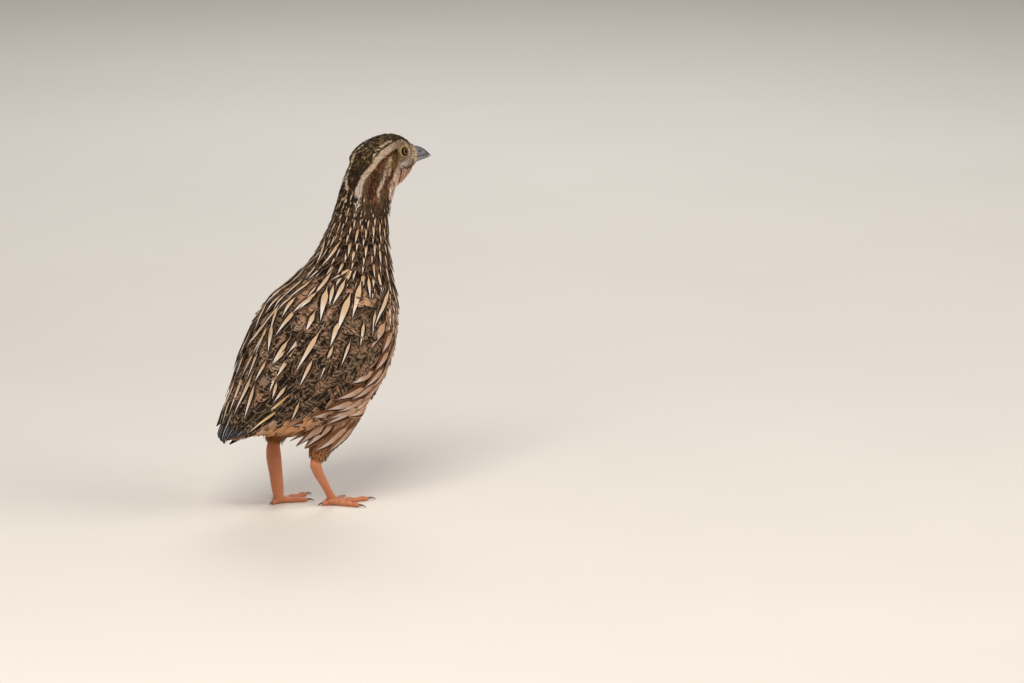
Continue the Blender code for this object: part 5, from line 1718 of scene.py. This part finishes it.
def paint_skin(skin, chart, guide, draw):
    """The coat's ground colours on the skin, and the unwrap that the feathers' patches follow."""
    tags, coordinates = chart.locate(guide.points)
    s, a = coordinates[:, 0], coordinates[:, 1]
    looks = body_looks(s, a, draw)
    head = head_looks(guide, guide.points, np.full(len(s), 0.5))
    share = np.where(tags == 1, 1.0, smooth(s, 124.0, 130.0) * (tags == 0))
    looks.blend(share, head)
    looks.paint(tags >= 2, ground=THIGH_SKIN)
    store(skin.data, "ground", np.column_stack([looks.ground * SKIN_SHADE, np.ones(len(s))]))
    lay_map(skin.data, "OFBake", unwrap_of(tags, s, a))
    skin.data.materials.append(skin_material())


def make_coats(chart, guide, draw):
    """All the feathers, in the order that the random draws have."""
    plume = feather_material("contour_feathers", 1.5, root_down_and_shade=0.6, bar_drift=0.8)
    neck = feather_material("neck_feathers", 2.0, root_down_and_shade=0.6)
    wedge = feather_material("wedge_feathers", 1.5, root_down_and_shade=0.6, black_above=0.45, black_width=0.24,
                             begins=(0.12, 0.38), looseness=0.12)
    side_plume = feather_material("flank_feathers", root_down_and_shade=0.4, black_above=0.1, black_width=0.5,
                                  begins=(0.16, 0.34), looseness=0.1)
    soft = feather_material("soft_feathers", 2.4, 0.5, 0.1)
    flight = feather_material("flight_feathers", 2.0)
    tail_vanes = feather_material("tail_feathers", 2.4, root_down_and_shade=0.3, black_above=0.3)
    small = feather_material("head_feathers", 1.2, 0.55, 0.12)
    coats = (
        ("coat_neck", neck_coat(guide, draw), "large", neck),
        ("coat_breast", breast_coat(guide, draw), "large", side_plume),
        ("coat_belly", belly_coat(guide, draw), "large", soft),
        ("coat_flanks", flank_coat(guide, draw), "large", side_plume),
        ("coat_back", back_coat(guide, draw), "large", plume),
        ("coat_wedges", wedge_feathers(guide, draw), "large", wedge),
        ("coat_head", head_coat(guide, chart, draw), "small", small),
        ("coat_thighs", thigh_coat(guide, chart, draw), "small", soft),
    )
    for name, feathers, kind, look in coats:
        make_coat(name, feathers, guide, kind, look, draw)
    for side, name in ((1, "left"), (-1, "right")):
        piece = make_coat("coat_wing_" + name, wing_coat(guide, side, draw), guide, "large", flight, draw)
        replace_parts(piece, "wing_" + name)
    tail = make_coat("coat_tail", tail_coat(guide, draw), guide, "large", tail_vanes, draw)
    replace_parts(tail, "tail")


def make_bird():
    """Skin, feathers, eyes, bill and legs."""
    draw = np.random.default_rng(SEED)
    chart = Chart()
    skin = make_skin()
    guide = Guide(skin)
    paint_skin(skin, chart, guide, draw)
    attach(skin, "root")
    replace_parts(skin, "head", "neck", "torso", "thigh_left", "thigh_right")
    make_coats(chart, guide, draw)
    eye = eye_material()
    lid = lid_material()
    for side in (-1, 1):
        make_eye(side, eye)
        make_lids(side, lid)
    upper = horn_material("bill_upper_horn", srgb(84, 85, 90), srgb(52, 54, 60), srgb(110, 98, 90))
    lower = horn_material("bill_lower_horn", srgb(114, 116, 114), srgb(84, 88, 92), srgb(138, 128, 114))
    make_bill(True, upper)
    make_bill(False, lower)
    leg = leg_material()
    claw = horn_material("claw_horn", srgb(104, 84, 72), srgb(70, 54, 46), srgb(160, 128, 108))
    for name in LEGS:
        make_leg(name, leg, claw)


# Camera: the photo looks 40 degrees round from the body's heading and 12 degrees down, at
# 0.45 mm a pixel where the bird's middle is
VIEW_TURN = math.radians(40)
VIEW_TILT = math.radians(12)
VIEW_DISTANCE = 4000.0
PHOTO_SIZE = (1024, 683)
BIRD_MIDDLE = (0.0, 0.0, 68.8)
BIRD_MIDDLE_PIXEL = (318.0, 352.0)
PIXEL = 0.45
SENSOR = 36.0
# What the lights look at, in metres, and half the floor's side in millimetres
LIGHT_AIM = Vector((0.0, 0.0, 0.08))
FLOOR_HALF = 6000
# Lights: the direction they come from, distance and side in metres, power and colour
LIGHTS = {
    "key": ((-0.75, -0.55, 1.05), 1.1, 0.6, 10.0, (1.0, 0.95, 0.88)),
    "fill": ((0.85, -1.0, 0.65), 1.3, 0.9, 8.5, (1.0, 0.96, 0.90)),
    "rim": ((0.9, 0.9, 0.9), 1.3, 0.6, 5.0, (0.98, 0.98, 1.0)),
}


def make_camera():
    """Camera far away with a long lens, so that the bird lies where the photo has it."""
    right = np.array([math.cos(VIEW_TURN), -math.sin(VIEW_TURN), 0.0])
    back = np.array([-math.sin(VIEW_TURN) * math.cos(VIEW_TILT),
                     -math.cos(VIEW_TURN) * math.cos(VIEW_TILT), math.sin(VIEW_TILT)])
    up = np.cross(back, right)
    aim = (np.array(BIRD_MIDDLE) + right * (PHOTO_SIZE[0] / 2 - BIRD_MIDDLE_PIXEL[0]) * PIXEL
           + up * (BIRD_MIDDLE_PIXEL[1] - PHOTO_SIZE[1] / 2) * PIXEL)
    data = bpy.data.cameras.new("camera")
    data.sensor_width = SENSOR
    data.lens = SENSOR * VIEW_DISTANCE / (PHOTO_SIZE[0] * PIXEL)
    data.clip_end = 20.0
    camera = put_in_scene("camera", data)
    place = (aim + back * VIEW_DISTANCE - STAND) * MM
    turn = Matrix([list(row) for row in np.stack([right, up, back], 1)]).to_4x4()
    camera.matrix_world = Matrix.Translation(place) @ turn
    bpy.context.scene.camera = camera


def add_light(name, direction, distance, size, power, colour):
    """Square soft light that looks at the bird's middle from a direction."""
    data = bpy.data.lights.new(name, "AREA")
    data.size = size
    data.energy = power
    data.color = colour
    lamp = put_in_scene(name, data)
    way = Vector(direction).normalized()
    lamp.location = LIGHT_AIM + way * distance
    lamp.rotation_euler = way.to_track_quat("Z", "Y").to_euler()


def make_studio():
    """Pale floor, three soft lights and a dim even sky."""
    corners = FLOOR_HALF * np.array([(-1, -1, 0), (1, -1, 0), (1, 1, 0), (-1, 1, 0)], float)
    floor = make_mesh("floor", corners, [(0, 1, 2, 3)])
    n = Nodes("floor")
    place = n.object_place()
    cloud = n.noise(place, 6.0, 3.0)
    colour = n.mix(cloud, srgb(218, 212, 204), srgb(226, 220, 212))
    floor.data.materials.append(n.finish(colour, 0.8, n.noise(place, 900.0, 2.0), 0.05, 0.0002))
    for name, values in LIGHTS.items():
        add_light(name, *values)
    world = bpy.data.worlds.new("studio")
    world.use_nodes = True
    sky = world.node_tree.nodes["Background"]
    sky.inputs["Color"].default_value = (0.86, 0.85, 0.84, 1.0)
    sky.inputs["Strength"].default_value = 0.30
    bpy.context.scene.world = world
    bpy.context.scene.view_settings.view_transform = "Standard"


make_camera()
make_bird()
make_studio()
